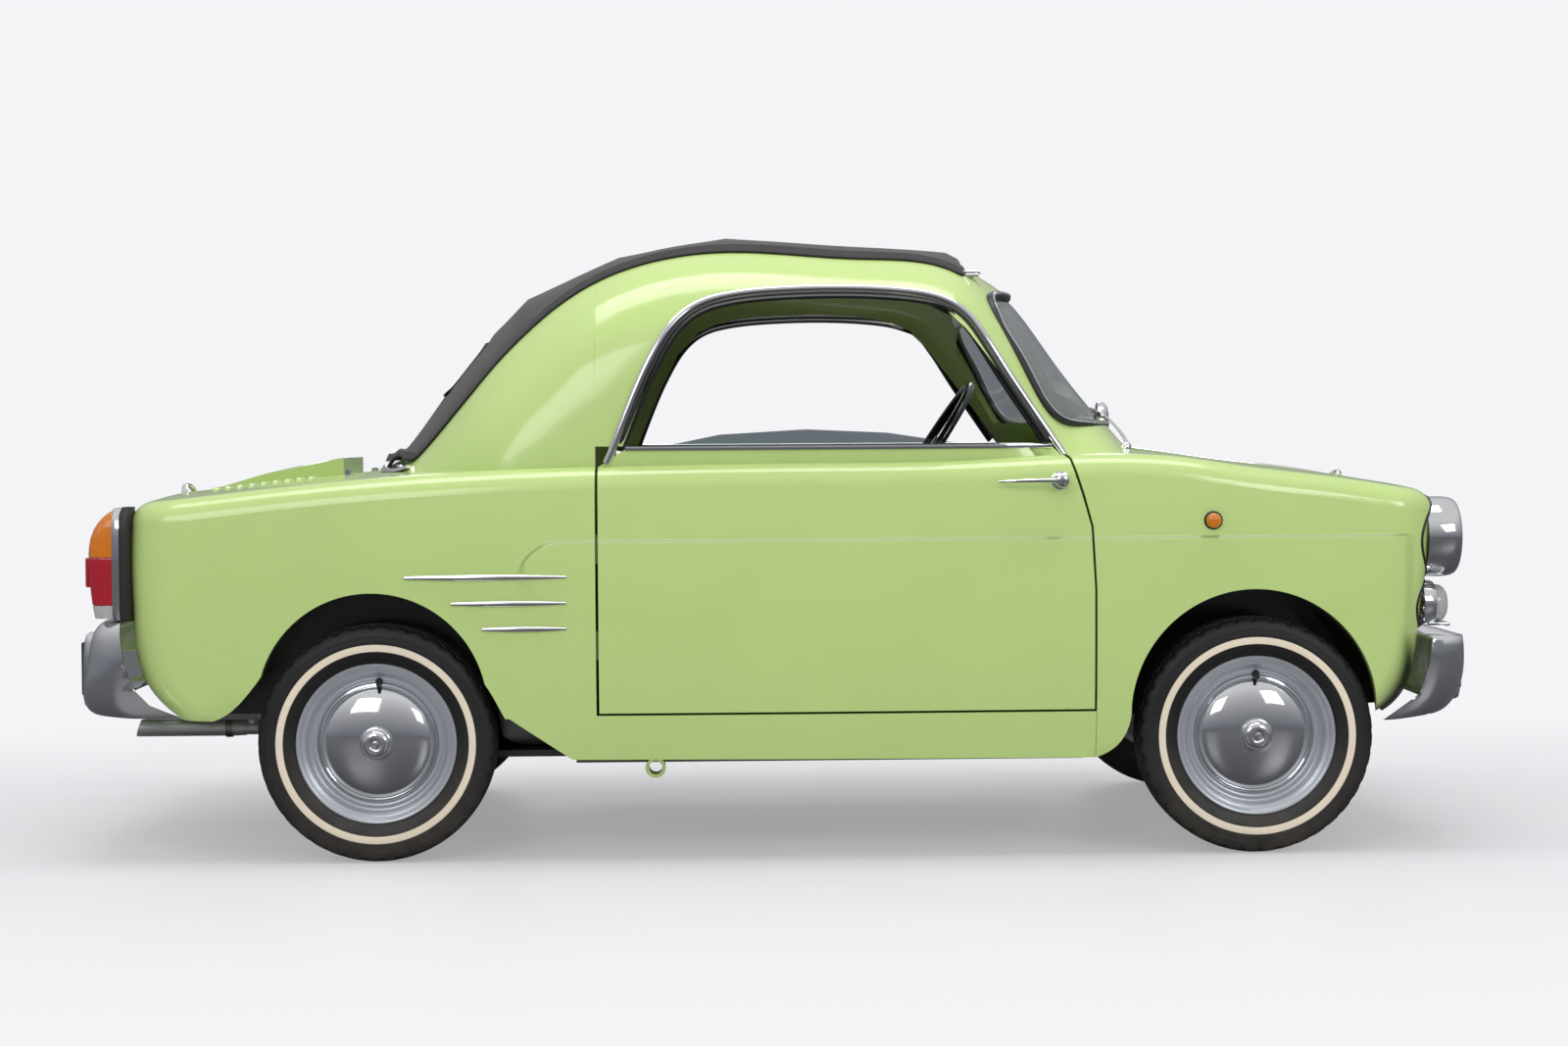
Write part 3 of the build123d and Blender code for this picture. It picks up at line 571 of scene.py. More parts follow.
def swept(points: list[Vector], section: list[Flat], closed: bool = False, taper: list[float] | None = None,
          order: int = 3) -> bpy.types.Object:
    """Sweep a closed section along a smooth line.

    Args:
        points: the line's control points.
        section: the section's corners.
        closed: whether the line is a loop.
        taper: the section's size at each point.
        order: the line's NURBS order.

    Returns:
        The swept mesh, with capped ends.
    """
    shape = bpy.data.curves.new("Section", "CURVE")
    shape.dimensions = "2D"
    ring = shape.splines.new("POLY")
    ring.points.add(len(section) - 1)
    for point, (u, v) in zip(ring.points, section):
        point.co = (u, v, 0, 1)
    ring.use_cyclic_u = True
    profile = bpy.data.objects.new("Section", shape)
    bpy.context.scene.collection.objects.link(profile)
    curve = bpy.data.curves.new("Run", "CURVE")
    curve.dimensions = "3D"
    curve.bevel_mode = "OBJECT"
    curve.bevel_object = profile
    curve.use_fill_caps = not closed
    curve.twist_mode = "Z_UP"
    curve.resolution_u = 4
    line = curve.splines.new("NURBS")
    line.points.add(len(points) - 1)
    for index, (point, place) in enumerate(zip(line.points, points)):
        point.co = (*place, 1)
        point.radius = taper[index] if taper else 1.0
    line.order_u = order
    line.use_endpoint_u = not closed
    line.use_cyclic_u = closed
    obj = bpy.data.objects.new("Run", curve)
    bpy.context.scene.collection.objects.link(obj)
    pick(obj)
    bpy.ops.object.convert(target="MESH")
    obj = bpy.context.object
    bpy.data.objects.remove(profile)
    return obj


def beside(spot: Vector, *offsets: Point) -> list[Vector]:
    """Points at some offsets from a spot."""
    return [spot + Vector(offset) for offset in offsets]


def along(table: tuple[Flat, ...], x: float) -> float:
    """Read a value between the rows of a table, and hold its end values outside them."""
    if x <= table[0][0]:
        return table[0][1]
    for (low, first), (high, second) in zip(table, table[1:]):
        if x <= high:
            return first + (second - first) * (x - low) / (high - low)
    return table[-1][1]


def rounded_ring(rear: float, front: float, half: float, radius: float) -> list[Flat]:
    """Points round a rectangle in plan with rounded corners, starting on the right."""
    ring = []
    for x, y, start in ((front, -half, 270), (front, half, 0), (rear, half, 90), (rear, -half, 180)):
        centre = (x - math.copysign(radius, x - (rear + front) / 2), y - math.copysign(radius, y))
        for turn in (0, 30, 60, 90):
            angle = math.radians(start + turn)
            ring.append((centre[0] + radius * math.cos(angle), centre[1] + radius * math.sin(angle)))
    return ring


def stacked(rings: list[tuple[Point, float, float]], power: float = 4.0, steps: int = 40) -> bpy.types.Object:
    """Pile rounded-square rings on each other, from the lowest up.

    Args:
        rings: (middle, half length, half width) of each ring.
        power: 2 for ovals, more for squarer rings.
        steps: points in each ring.

    Returns:
        The closed solid.
    """
    middle, long, wide = rings[0]
    rest_all()
    bpy.ops.mesh.primitive_circle_add(vertices=steps, radius=1.0, fill_type="NGON", location=middle)
    obj = bpy.context.object
    for corner in obj.data.vertices:
        swell = (abs(corner.co.x) ** power + abs(corner.co.y) ** power) ** (-1 / power)
        corner.co = (corner.co.x * swell * long, corner.co.y * swell * wide, 0)
    edit(obj)
    for (place, length, width), (spot, next_length, next_width) in zip(rings, rings[1:]):
        bpy.ops.mesh.extrude_region_move(TRANSFORM_OT_translate={"value": Vector(spot) - Vector(place)})
        bpy.ops.transform.resize(value=(next_length / length, next_width / width, 1), center_override=spot)
    close_edit()
    return obj


def carried(node: str, name: str, material: bpy.types.Material, body: str, drop: list[tuple[Point, Point]],
            smooth: float = 30.0) -> bpy.types.Object:
    """Take over a copy of a CAD node's mesh, without what lies in some boxes.

    Args:
        node: the CAD node, which the piece replaces.
        name: the piece's name.
        material: its finish.
        body: the body that it moves with.
        drop: (low corner, high corner) of each box whose loose parts go.
        smooth: the shading angle in degrees.

    Returns:
        The piece.
    """
    mesh = NODES[node].data.copy()
    obj = bpy.data.objects.new(name, mesh)
    bpy.context.scene.collection.objects.link(obj)
    edit(obj)
    bpy.ops.mesh.remove_doubles(threshold=0.00001)
    bpy.ops.mesh.select_all(action="DESELECT")
    close_edit()
    for low, high in drop:
        for corner in mesh.vertices:
            corner.select = corner.select or all(a <= c <= b for a, c, b in zip(low, corner.co, high))
    if drop:
        edit(obj, whole=False)
        bpy.ops.mesh.delete(type="VERT")
        close_edit()
    settle(obj, name, material, smooth, body)
    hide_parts(node)
    return obj


def oval(width: float, height: float, steps: int = 12) -> list[Flat]:
    """The corners of an oval section."""
    return [(width / 2 * math.cos(math.tau * i / steps), height / 2 * math.sin(math.tau * i / steps))
            for i in range(steps)]


def blocked(centre: Point, size: Point, bevel: float, segments: int = 3) -> bpy.types.Object:
    """A box with rounded edges, as a start for moulded pieces.

    Args:
        centre: its middle.
        size: its three sides.
        bevel: the edge radius.
        segments: facets in each edge.

    Returns:
        The rounded box, with its place applied.
    """
    rest_all()
    bpy.ops.mesh.primitive_cube_add(size=1, location=centre)
    obj = bpy.context.object
    obj.scale = size
    bpy.ops.object.transform_apply(location=True, rotation=True, scale=True)
    add_modifier(obj, "BEVEL", width=bevel, segments=segments, limit_method="NONE")
    apply_all(obj)
    return obj


class Skin:
    """The outer surface of some CAD nodes, on which trim is laid."""

    def __init__(self, *names: str) -> None:
        """Gather the nodes' triangles."""
        corners, faces = [], []
        for name in names:
            mesh = NODES[name].data
            start = len(corners)
            corners += [v.co.copy() for v in mesh.vertices]
            faces += [[start + i for i in face.vertices] for face in mesh.polygons]
        self.tree = BVHTree.FromPolygons(corners, faces)

    def hit(self, start: Point, direction: Point, lift: float = 0.0) -> Vector | None:
        """Where a ray first meets the surface.

        Args:
            start: where the ray starts.
            direction: where it points.
            lift: how far off the surface the answer lies.

        Returns:
            The point, or None for a miss.
        """
        place, normal, _, _ = self.tree.ray_cast(Vector(start), Vector(direction).normalized())
        if place is None:
            return None
        if normal.dot(Vector(direction)) > 0:
            normal = -normal
        return place + normal * lift

    def side(self, x: float, z: float, side: Side, lift: float = 0.0) -> Vector | None:
        """The body side at a place in the side view."""
        return self.hit((x, side.value * 2.0, z), (0, -side.value, 0), lift)

    def top(self, x: float, y: float, lift: float = 0.0) -> Vector | None:
        """The surface under a place in the plan view."""
        return self.hit((x, y, 2.5), (0, 0, -1), lift)


# ---------------------------------------------------------------------------- studio
@dataclass
class Studio:
    """The floor, the light and the camera."""

    eye: Point = (-0.1302, -6.27, 0.8761)
    yaw: float = 0.0253
    pitch: float = 0.0309
    roll: float = -0.0067
    lens: float = 62.39
    floor_size: float = 60.0
    key_power: float = 105.0
    fill_power: float = 62.0
    sky: float = 0.66
    backdrop: Point = (0.905, 0.905, 0.93)
    backdrop_fade: tuple[float, float, float, float] = (0.5, 2.4, 0.35, 1.0)
    floor_tone: tuple[float, float, float, float] = (0.8, 0.8, 0.82, 1)
    floor_reflected: tuple[float, float, float, float] = (0.055, 0.055, 0.06, 1)
    horizon: tuple[float, float, float, float] = (0.22, 0.23, 0.27, 1)

    def build(self) -> None:
        """Set the stage, the lamps, the world and the camera."""
        self._floor()
        self._lamps()
        self._world()
        self._camera()
        log.info("studio ready")

    def _floor(self) -> None:
        """A pale floor that keeps the shadow near the car and reads as backdrop further off."""
        rest_all()
        bpy.ops.mesh.primitive_grid_add(x_subdivisions=4, y_subdivisions=4, size=self.floor_size,
                                        location=(0, 0, 0))
        floor = bpy.context.object
        floor.name = "Floor"
        material = bpy.data.materials.new("Pale floor")
        material.use_nodes = True
        graph = Graph(material.node_tree)
        nodes = material.node_tree.nodes
        place = graph.node("TexCoord", {}).outputs["Object"]
        path = graph.node("LightPath", {}).outputs
        noise = graph.node("TexNoise", {"Vector": place, "Scale": 3.0}).outputs[0]
        shader = nodes["Principled BSDF"]
        graph.feed(shader.inputs["Roughness"], graph.ramp(noise, 0.0, 1.0, 0.3, 0.42, smooth=False))
        tone = graph.blend(path["Is Glossy Ray"], self.floor_tone, self.floor_reflected)
        graph.feed(shader.inputs["Base Color"], tone)
        flat = graph.node("Mapping", {"Vector": place, "Scale": (0.45, 1.0, 0.0)}).outputs[0]
        reach = graph.node("VectorMath", {0: flat}, operation="LENGTH").outputs["Value"]
        seen = graph.maths("MULTIPLY", graph.ramp(reach, *self.backdrop_fade), path["Is Camera Ray"])
        glow = graph.node("Emission", {"Color": (*self.backdrop, 1)}).outputs[0]
        blend = graph.node("MixShader", {0: seen, 1: shader.outputs[0], 2: glow}).outputs[0]
        graph.feed(nodes["Material Output"].inputs["Surface"], blend)
        floor.data.materials.append(material)

    def _lamps(self) -> None:
        """One long soft box overhead and a softer pair in front and behind."""
        for name, place, target, size, power in (
                ("Overhead", (0.0, -0.6, 4.4), (0, 0, 0.3), (4.6, 1.6), self.key_power),
                ("Front fill", (-2.6, -6.0, 3.4), (0, 0, 0.5), (2.6, 2.2), self.fill_power),
                ("Side fill", (3.6, -5.2, 3.0), (0.6, 0, 0.5), (1.8, 1.8), self.fill_power),
                ("Back fill", (0.0, 6.5, 4.0), (0, 0, 0.5), (4.0, 2.0), self.fill_power)):
            data = bpy.data.lights.new(name, "AREA")
            data.shape = "RECTANGLE"
            data.size, data.size_y = size
            data.energy = power
            lamp = bpy.data.objects.new(name, data)
            bpy.context.scene.collection.objects.link(lamp)
            lamp.location = place
            lamp.rotation_euler = (Vector(target) - Vector(place)).to_track_quat("-Z", "Y").to_euler()

    def _world(self) -> None:
        """An even pale sky; gloss sees it darker toward the horizon, the camera sees the backdrop's tone."""
        world = bpy.data.worlds.new("Sky")
        bpy.context.scene.world = world
        world.use_nodes = True
        graph = Graph(world.node_tree)
        path = graph.node("LightPath", {}).outputs
        split = graph.node("SeparateXYZ", {0: graph.node("TexCoord", {}).outputs["Generated"]})
        rise = graph.ramp(split.outputs["Z"], -0.02, 0.7, smooth=False)
        glossy = graph.blend(rise, self.horizon, (1.0, 1.0, 1.0, 1))
        colour = graph.blend(path["Is Glossy Ray"], (*self.backdrop, 1), glossy)
        strength = graph.ramp(path["Is Camera Ray"], 0.0, 1.0, self.sky, 1.0, smooth=False)
        back = world.node_tree.nodes["Background"]
        graph.feed(back.inputs["Color"], colour)
        graph.feed(back.inputs["Strength"], strength)

    def _camera(self) -> None:
        """The camera, level with the belt on the car's right."""
        forward = Vector((math.sin(self.yaw) * math.cos(self.pitch),
                          math.cos(self.yaw) * math.cos(self.pitch), -math.sin(self.pitch)))
        right = Vector((math.cos(self.yaw), -math.sin(self.yaw), 0))
        up = right.cross(forward)
        across = math.cos(self.roll) * right + math.sin(self.roll) * up
        upward = -math.sin(self.roll) * right + math.cos(self.roll) * up
        data = bpy.data.cameras.new("Camera")
        data.lens = self.lens
        camera = bpy.data.objects.new("Camera", data)
        bpy.context.scene.collection.objects.link(camera)
        turn = Matrix((across, upward, -forward)).transposed()
        camera.matrix_world = Matrix.Translation(self.eye) @ turn.to_4x4()
        bpy.context.scene.camera = camera
        bpy.context.scene.view_settings.view_transform = "Standard"


# ---------------------------------------------------------------------------- carried-over pieces
@dataclass
class Carcass:
    """The CAD pieces that show as they are, with their finishes."""

    paints: dict[str, tuple[str, ...]] = field(default_factory=lambda: {
        "Lime enamel": ("right_door", "left_door", "bonnet", "engine_lid", "right_sill", "left_sill",
                        "right_rear_quarter", "left_rear_quarter", "right_front_fender",
                        "left_front_fender", "nose_panel", "tail_panel", "rear_deck", "windscreen_frame",
                        "cowl"),
        "Inner lime enamel": ("front_bulkhead", "rear_bulkhead", "dashboard"),
        "Window glass": ("right_door_glass", "left_door_glass", "windscreen"),
        "Clear roof sheet": ("rear_window",),
        "Charcoal canvas": ("fabric_roof",),
        "Bare steel": ("roof_bows", "steering_column", "seat_frames", "front_suspension", "rear_suspension",
                       "right_knuckle", "left_knuckle"),
        "Underseal": ("floor_pan",),
        "Cast alloy": ("engine",),
        "Exhaust wrap": ("exhaust",),
        "Black moulding": ("steering_wheel",),
        "Cream leathercloth": ("driver_seat", "passenger_seat", "rear_bench"),
        "Bright chrome": ("front_bumper", "rear_bumper", "front_lamps", "wing_mirror"),
        "Red lens": ("tail_lamps",),
        "Silver wheel paint": ("front_left_wheel", "front_right_wheel", "rear_left_wheel",
                               "rear_right_wheel"),
        "Tyre rubber": ("front_left_tyre", "front_right_tyre", "rear_left_tyre", "rear_right_tyre"),
    })

    def dress(self, box: Paintbox) -> None:
        """Give every CAD node its material.

        Args:
            box: the materials.
        """
        for finish, names in self.paints.items():
            for name in names:
                obj = NODES[name]
                obj.data.materials.clear()
                obj.data.materials.append(box[finish])
        log.info("%d frame pieces dressed", sum(len(names) for names in self.paints.values()))


# ---------------------------------------------------------------------------- wheels
@dataclass
class Wheel:
    """A road wheel: tyre with a pale ring, steel rim, chrome cap and valve, made once and copied round.

    The profiles are (radius, reach) from the hub. The notched bands of the tread, shoulder and rib, are
    (inner reach, outer reach, least radius).
    """

    radius: float = 0.248
    front: Flat = (1.002, 0.5605)
    rear: Flat = (-0.838, 0.5675)
    steps: int = 120
    shoulder: Point = (0.0346, 0.052, 0.238)
    rib: Point = (0.017, 0.0296, 0.246)
    tyre: tuple[Flat, ...] = (
        (0.166, 0.045), (0.169, 0.05), (0.174, 0.0528), (0.182, 0.0562), (0.19, 0.0585), (0.208, 0.0604),
        (0.218, 0.06), (0.2215, 0.0588), (0.2225, 0.059), (0.23, 0.0566), (0.237, 0.0534), (0.243, 0.049),
        (0.2455, 0.044), (0.2468, 0.038), (0.247, 0.0345), (0.2425, 0.034), (0.2425, 0.03), (0.2474, 0.0295),
        (0.2477, 0.017), (0.243, 0.0165), (0.243, 0.0125), (0.2478, 0.012), (0.248, 0.0025), (0.243, 0.002))
    bead: tuple[Flat, ...] = ((0.166, -0.045), (0.17, -0.03), (0.173, 0.0), (0.17, 0.03), (0.166, 0.045))
    ring: tuple[Flat, ...] = ((0.1925, 0.0584), (0.193, 0.0598), (0.1945, 0.0604), (0.2, 0.0612),
                              (0.206, 0.0615), (0.2072, 0.0611), (0.2076, 0.06))
    rim: tuple[Flat, ...] = (
        (0.1655, 0.042), (0.1672, 0.0462), (0.1672, 0.049), (0.1655, 0.0508), (0.1625, 0.0506),
        (0.159, 0.0478), (0.156, 0.044), (0.1535, 0.0425), (0.15, 0.0415), (0.1478, 0.0395), (0.1462, 0.035),
        (0.1452, 0.029), (0.144, 0.025), (0.1415, 0.0222), (0.138, 0.021), (0.135, 0.0216), (0.1325, 0.022),
        (0.1295, 0.0212), (0.127, 0.019), (0.1255, 0.0165), (0.123, 0.015), (0.119, 0.0142), (0.108, 0.014),
        (0.07, 0.011), (0.03, 0.01), (0.0206, 0.01), (0.0206, -0.033), (0.06, -0.033), (0.062, -0.03),
        (0.062, 0.006), (0.09, 0.008), (0.12, 0.01), (0.133, 0.016), (0.14, 0.017), (0.1422, 0.01),
        (0.143, -0.03), (0.148, -0.04), (0.152, -0.044), (0.16, -0.0465), (0.1655, -0.046), (0.1655, -0.042),
        (0.154, -0.04), (0.15, -0.034), (0.147, -0.028), (0.1475, 0.028), (0.153, 0.0385), (0.16, 0.0415),
        (0.1655, 0.042))
    cap: tuple[Flat, ...] = (
        (0.113, 0.0125), (0.119, 0.0135), (0.1225, 0.016), (0.1232, 0.019), (0.122, 0.0212), (0.1195, 0.0218),
        (0.1172, 0.0208), (0.116, 0.0222), (0.112, 0.0262), (0.106, 0.0305), (0.098, 0.0346), (0.088, 0.0384),
        (0.076, 0.0418), (0.062, 0.0448), (0.048, 0.047), (0.038, 0.048), (0.0335, 0.0484), (0.0318, 0.0492),
        (0.0305, 0.0512), (0.0298, 0.056), (0.0288, 0.0602), (0.0268, 0.0638), (0.0235, 0.0664),
        (0.019, 0.0678), (0.014, 0.0682), (0.0125, 0.0674), (0.011, 0.0656), (0.0085, 0.0652),
        (0.006, 0.0662), (0.0, 0.0668))

    def build(self, box: Paintbox) -> None:
        """Model the right front wheel, then copy it to the other three corners.

        Args:
            box: the materials.
        """
        hub = (self.front[0], -self.front[1], self.radius)
        body = "front_right_wheel"
        pieces = (self._tyre(hub, box, body), self._ring(hub, box, body), self._rim(hub, box, body),
                  self._cap(hub, box, body), self._valve(hub, box, body))
        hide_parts("front_right_tyre")
        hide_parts("front_right_wheel")
        for end, word in ((self.front, "front"), (self.rear, "rear")):
            for side in Side:
                if (word, side) == ("front", Side.RIGHT):
                    continue
                corner = f"{word}_{side.word}"
                shift = (end[0] - self.front[0], self.front[1] - end[1], 0)
                for piece in pieces:
                    stem = piece.name.removeprefix("front_right_")
                    copy = again(piece, f"{corner}_{stem}", f"{corner}_wheel", shift, side is Side.LEFT)
                    if stem == "tyre_tread":
                        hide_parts(f"{corner}_tyre")
                    if stem == "rim_shell":
                        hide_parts(f"{corner}_wheel")
        log.info("four wheels of %d pieces", len(pieces))

    def _tyre(self, hub: Point, box: Paintbox, body: str) -> bpy.types.Object:
        """The tyre, with three grooves round the tread and notched shoulders."""
        mirrored = [(radius, -reach) for radius, reach in reversed(self.tyre)]
        obj = turned([*self.tyre, *mirrored, *self.bead[1:]], hub, "Y", -1, self.steps)
        for face in obj.data.polygons:
            place = face.center - Vector(hub)
            reach = abs(place.y)
            column = int(round(math.atan2(place.z, place.x) / math.tau * self.steps - 0.5))
            far = math.hypot(place.x, place.z)
            face.select = any([low < reach < high and far > least and column % 3 == turn
                               for turn, (low, high, least) in enumerate((self.shoulder, self.rib))])
        edit(obj, "FACE", whole=False)
        bpy.ops.mesh.extrude_region_move(TRANSFORM_OT_translate={"value": (0, 0, 0)})
        bpy.ops.transform.resize(value=(0.988, 1.0, 0.988), center_override=hub)
        close_edit()
        return settle(obj, "front_right_tyre_tread", box["Tyre rubber"], 42, body)

    def _ring(self, hub: Point, box: Paintbox, body: str) -> bpy.types.Object:
        """The narrow pale ring on the outer sidewall."""
        back = ((0.2076, 0.058), (0.1925, 0.057), self.ring[0])
        obj = turned([*self.ring, *back], hub, "Y", -1, self.steps)
        return settle(obj, "front_right_white_ring", box["Whitewall rubber"], 50, body)

    def _rim(self, hub: Point, box: Paintbox, body: str) -> bpy.types.Object:
        """The pressed steel rim with its rolled flange and stepped well."""
        obj = turned(list(self.rim), hub, "Y", -1, self.steps)
        return settle(obj, "front_right_rim_shell", box["Silver wheel paint"], 40, body)

    def _cap(self, hub: Point, box: Paintbox, body: str) -> bpy.types.Object:
        """The domed chrome cap with its raised boss."""
        obj = turned(list(self.cap), hub, "Y", -1, self.steps)
        edit(obj)
        bpy.ops.mesh.remove_doubles(threshold=0.00001)
        close_edit()
        add_modifier(obj, "SOLIDIFY", thickness=0.0012, offset=-1)
        return settle(obj, "front_right_cap_dome", box["Bright chrome"], 32, body)

    def _valve(self, hub: Point, box: Paintbox, body: str) -> bpy.types.Object:
        """The rubber valve at the top of the rim."""
        foot = (hub[0] + 0.004, hub[1], hub[2] + 0.1335)
        stations = [(0.0, 0.0205), (0.0078, 0.0208), (0.0078, 0.024), (0.0056, 0.0275), (0.005, 0.037),
                    (0.0042, 0.0385), (0.0042, 0.047), (0.003, 0.0482), (0.0, 0.0484)]
        obj = turned([(max(radius, 0.0004), reach) for radius, reach in stations[:-1]] + [(0.0, 0.0484)],
                     foot, "Y", -1, 20)
        edit(obj)
        bpy.ops.transform.rotate(value=math.radians(-14), orient_axis="X", center_override=foot)
        close_edit()
        return settle(obj, "front_right_tyre_valve", box["Seal rubber"], 40, body)


# ---------------------------------------------------------------------------- fabric roof
@dataclass
class FabricRoof:
    """The closed folding roof: a sheet over hidden bows, with its edging, base strip and catches."""

    base: float = -0.846
    header: float = 0.408
    half: float = 0.43
    outline: tuple[Flat, ...] = ((-0.846, 0.33), (-0.8, 0.395), (-0.65, 0.43), (0.408, 0.43))
    ridge: tuple[Flat, ...] = ((-0.6, 1.1455), (-0.545, 1.199), (-0.337, 1.283), (-0.103, 1.324),
                               (0.378, 1.29), (0.408, 1.2765))
    pane: Point = (-0.722, -0.634, 0.232)
    level: float = 0.3
    columns: int = 33
    pitch: float = 0.0135

    def build(self, box: Paintbox) -> None:
        """Make the sheet and everything sewn or clipped to it.

        Args:
            box: the materials.
        """
        self.over = Skin("fabric_roof", "rear_window")
        self.under = Skin("windscreen_frame", "right_rear_quarter", "left_rear_quarter", "rear_deck")
        sheet = self._sheet(box)
        binding = self._binding(box)
        seal = self._pane_seal(box)
        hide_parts("fabric_roof")
        self._base_strip(box)
        self._catches(box)
        log.info("fabric roof of %d faces", len(sheet.data.polygons))

    def width_at(self, x: float) -> float:
        """Half the sheet's width at a place along it."""
        return along(self.outline, x)

    def smooth_top(self, x: float, y: float) -> float:
        """The height of the roof's smooth form, read a little inward where its edge is missed."""
        for share in (1.0, 0.98, 0.95, 0.9, 0.8, 0.6):
            found = self.over.top(x, y * share)
            if found:
                return found.z
        return 0.85

    def surface(self, x: float, y: float) -> float:
        """The height of the stretched fabric, flat between its bows and low at its edges."""
        smooth = self.smooth_top(x, y)
        if x < self.ridge[0][0]:
            return smooth
        share = min(1.0, max(0.0, (0.415 - abs(y)) / (0.415 - self.level)))
        share = share * share * (3 - 2 * share)
        middle = self.smooth_top(x, 0.0)
        return smooth + (along(self.ridge, x) - middle) * share

    def _sheet(self, box: Paintbox) -> bpy.types.Object:
        """The sheet itself, turned down to the roof all round and open at the rear window."""
        kinks = [x for x, _ in self.ridge[:-1]] + [self.pane[0], self.pane[1]]
        stops = sorted([self.base + 0.006, *kinks, self.header - 0.004])
        xs = [self.base]
        for start, end in zip(stops, stops[1:]):
            count = max(1, round((end - start) / self.pitch))
            xs += [start + (end - start) * i / count for i in range(count)]
        xs += [stops[-1], self.header]
        rest_all()
        bpy.ops.mesh.primitive_grid_add(x_subdivisions=len(xs) - 1, y_subdivisions=self.columns + 1, size=1)
        obj = bpy.context.object
        mesh = obj.data
        wide = self.columns + 2
        for row, x in enumerate(xs):
            held = min(max(x, self.base + 0.006), self.header - 0.004)
            for column in range(wide):
                share = (column - 0.5) / (self.columns - 0.0) * 2 - 1
                edge = column in (0, wide - 1)
                share = max(-0.99, min(0.99, share))
                y = self.width_at(held) * (math.copysign(1.0, column - wide / 2) if edge else share)
                if edge or row in (0, len(xs) - 1):
                    found = self.under.top(held if edge else x, y * 1.0005)
                    z = (found.z if found else self.surface(held, y * 0.985) - 0.01) + 0.0015
                    z = max(z, self.surface(held, y * 0.975) - 0.016)
                else:
                    z = self.surface(held, y)
                mesh.vertices[column * len(xs) + row].co = (x, y, z)
        rear, front, half = self.pane
        for face in mesh.polygons:
            centre = face.center
            face.select = rear < centre.x < front and abs(centre.y) < half
        edit(obj, "FACE", whole=False)
        bpy.ops.mesh.delete(type="FACE")
        bpy.ops.mesh.select_all(action="SELECT")
        bpy.ops.mesh.normals_make_consistent(inside=False)
        close_edit()
        add_modifier(obj, "SOLIDIFY", thickness=0.0018, offset=-1)
        return settle(obj, "roof_sheet", box["Charcoal canvas"], 24)

    def _edge_points(self, lift: float = 0.003) -> list[Vector]:
        """Points round the sheet's outline, a little above the painted roof."""
        xs = [self.base + (self.header - self.base) * i / 40 for i in range(41)]
        right = [(x, -self.width_at(x) - 0.001) for x in xs]
        front = [(self.header + 0.002, -self.half + 0.86 * i / 14) for i in range(1, 14)]
        rear = [(self.base - 0.001, 0.33 - 0.66 * i / 10) for i in range(1, 10)]
        points = []
        for x, y in [*right, *front, *[(x, -y) for x, y in reversed(right)], *rear]:
            found = self.under.top(x, y)
            height = found.z if found else self.surface(min(x, self.header - 0.004), y * 0.97) - 0.009
            points.append(Vector((x, y, height + lift)))
        return points

    def _binding(self, box: Paintbox) -> bpy.types.Object:
        """The dark edging sewn round the sheet."""
        obj = swept(self._edge_points(), oval(0.0095, 0.0065, 10), closed=True)
        return settle(obj, "roof_sheet_binding", box["Canvas binding"], 60)

    def _pane_seal(self, box: Paintbox) -> bpy.types.Object:
        """The welt round the rear window."""
        rear, front, half = self.pane
        ring = rounded_ring(rear - 0.004, front + 0.004, half + 0.004, 0.022)
        points = [Vector((x, y, self.smooth_top(x, y) + 0.0015)) for x, y in ring]
        obj = swept(points, oval(0.014, 0.007, 10), closed=True)
        return settle(obj, "rear_window_welt", box["Canvas binding"], 60)

    def _base_strip(self, box: Paintbox) -> None:
        """The bright strip that holds the foot of the sheet down."""
        plan = [(-0.786, 0.408), (-0.806, 0.396), (-0.828, 0.366), (-0.846, 0.33), (-0.853, 0.26),
                (-0.857, 0.15)]
        run = plan + [(-0.858, 0.0)] + [(x, -y) for x, y in reversed(plan)]
        points = []
        for x, y in run:
            found = self.under.top(x, y)
            points.append(Vector((x, y, (found.z if found else 0.845) + 0.006)))
        section = [(-0.014, -0.006), (-0.012, 0.001), (-0.006, 0.0045), (0.0, 0.0055), (0.006, 0.0045),
                   (0.012, 0.001), (0.014, -0.006)]
        obj = swept(points, section)
        settle(obj, "roof_base_strip", box["Bright chrome"], 40)
        knobs = [turned([(0.0001, 0.0), (0.008, 0.0), (0.0085, 0.002), (0.007, 0.005), (0.0045, 0.0065),
                         (0.0, 0.007)], tuple(points[i] + Vector((0, 0, 0.003))), "Z", 1, 16)
                 for i in (1, 4, 8, 11)]
        settle(join(knobs), "roof_base_studs", box["Bright chrome"], 40)

    def _catches(self, box: Paintbox) -> None:
        """The two small catches at the header's ends."""
        spot = self.under.top(self.header + 0.017, -0.395)
        plate = blocked((spot.x, spot.y, spot.z + 0.004), (0.034, 0.03, 0.007), 0.0025)
        lever = blocked((spot.x + 0.002, spot.y, spot.z + 0.011), (0.04, 0.012, 0.008), 0.0035)
        pin = turned([(0.0001, -0.018), (0.0042, -0.018), (0.0042, 0.018), (0.0, 0.018)],
                     (spot.x - 0.014, spot.y, spot.z + 0.009), "Y", 1, 16)
        pair(join([plate, lever, pin]), "roof_catch", box["Bright chrome"], 40)


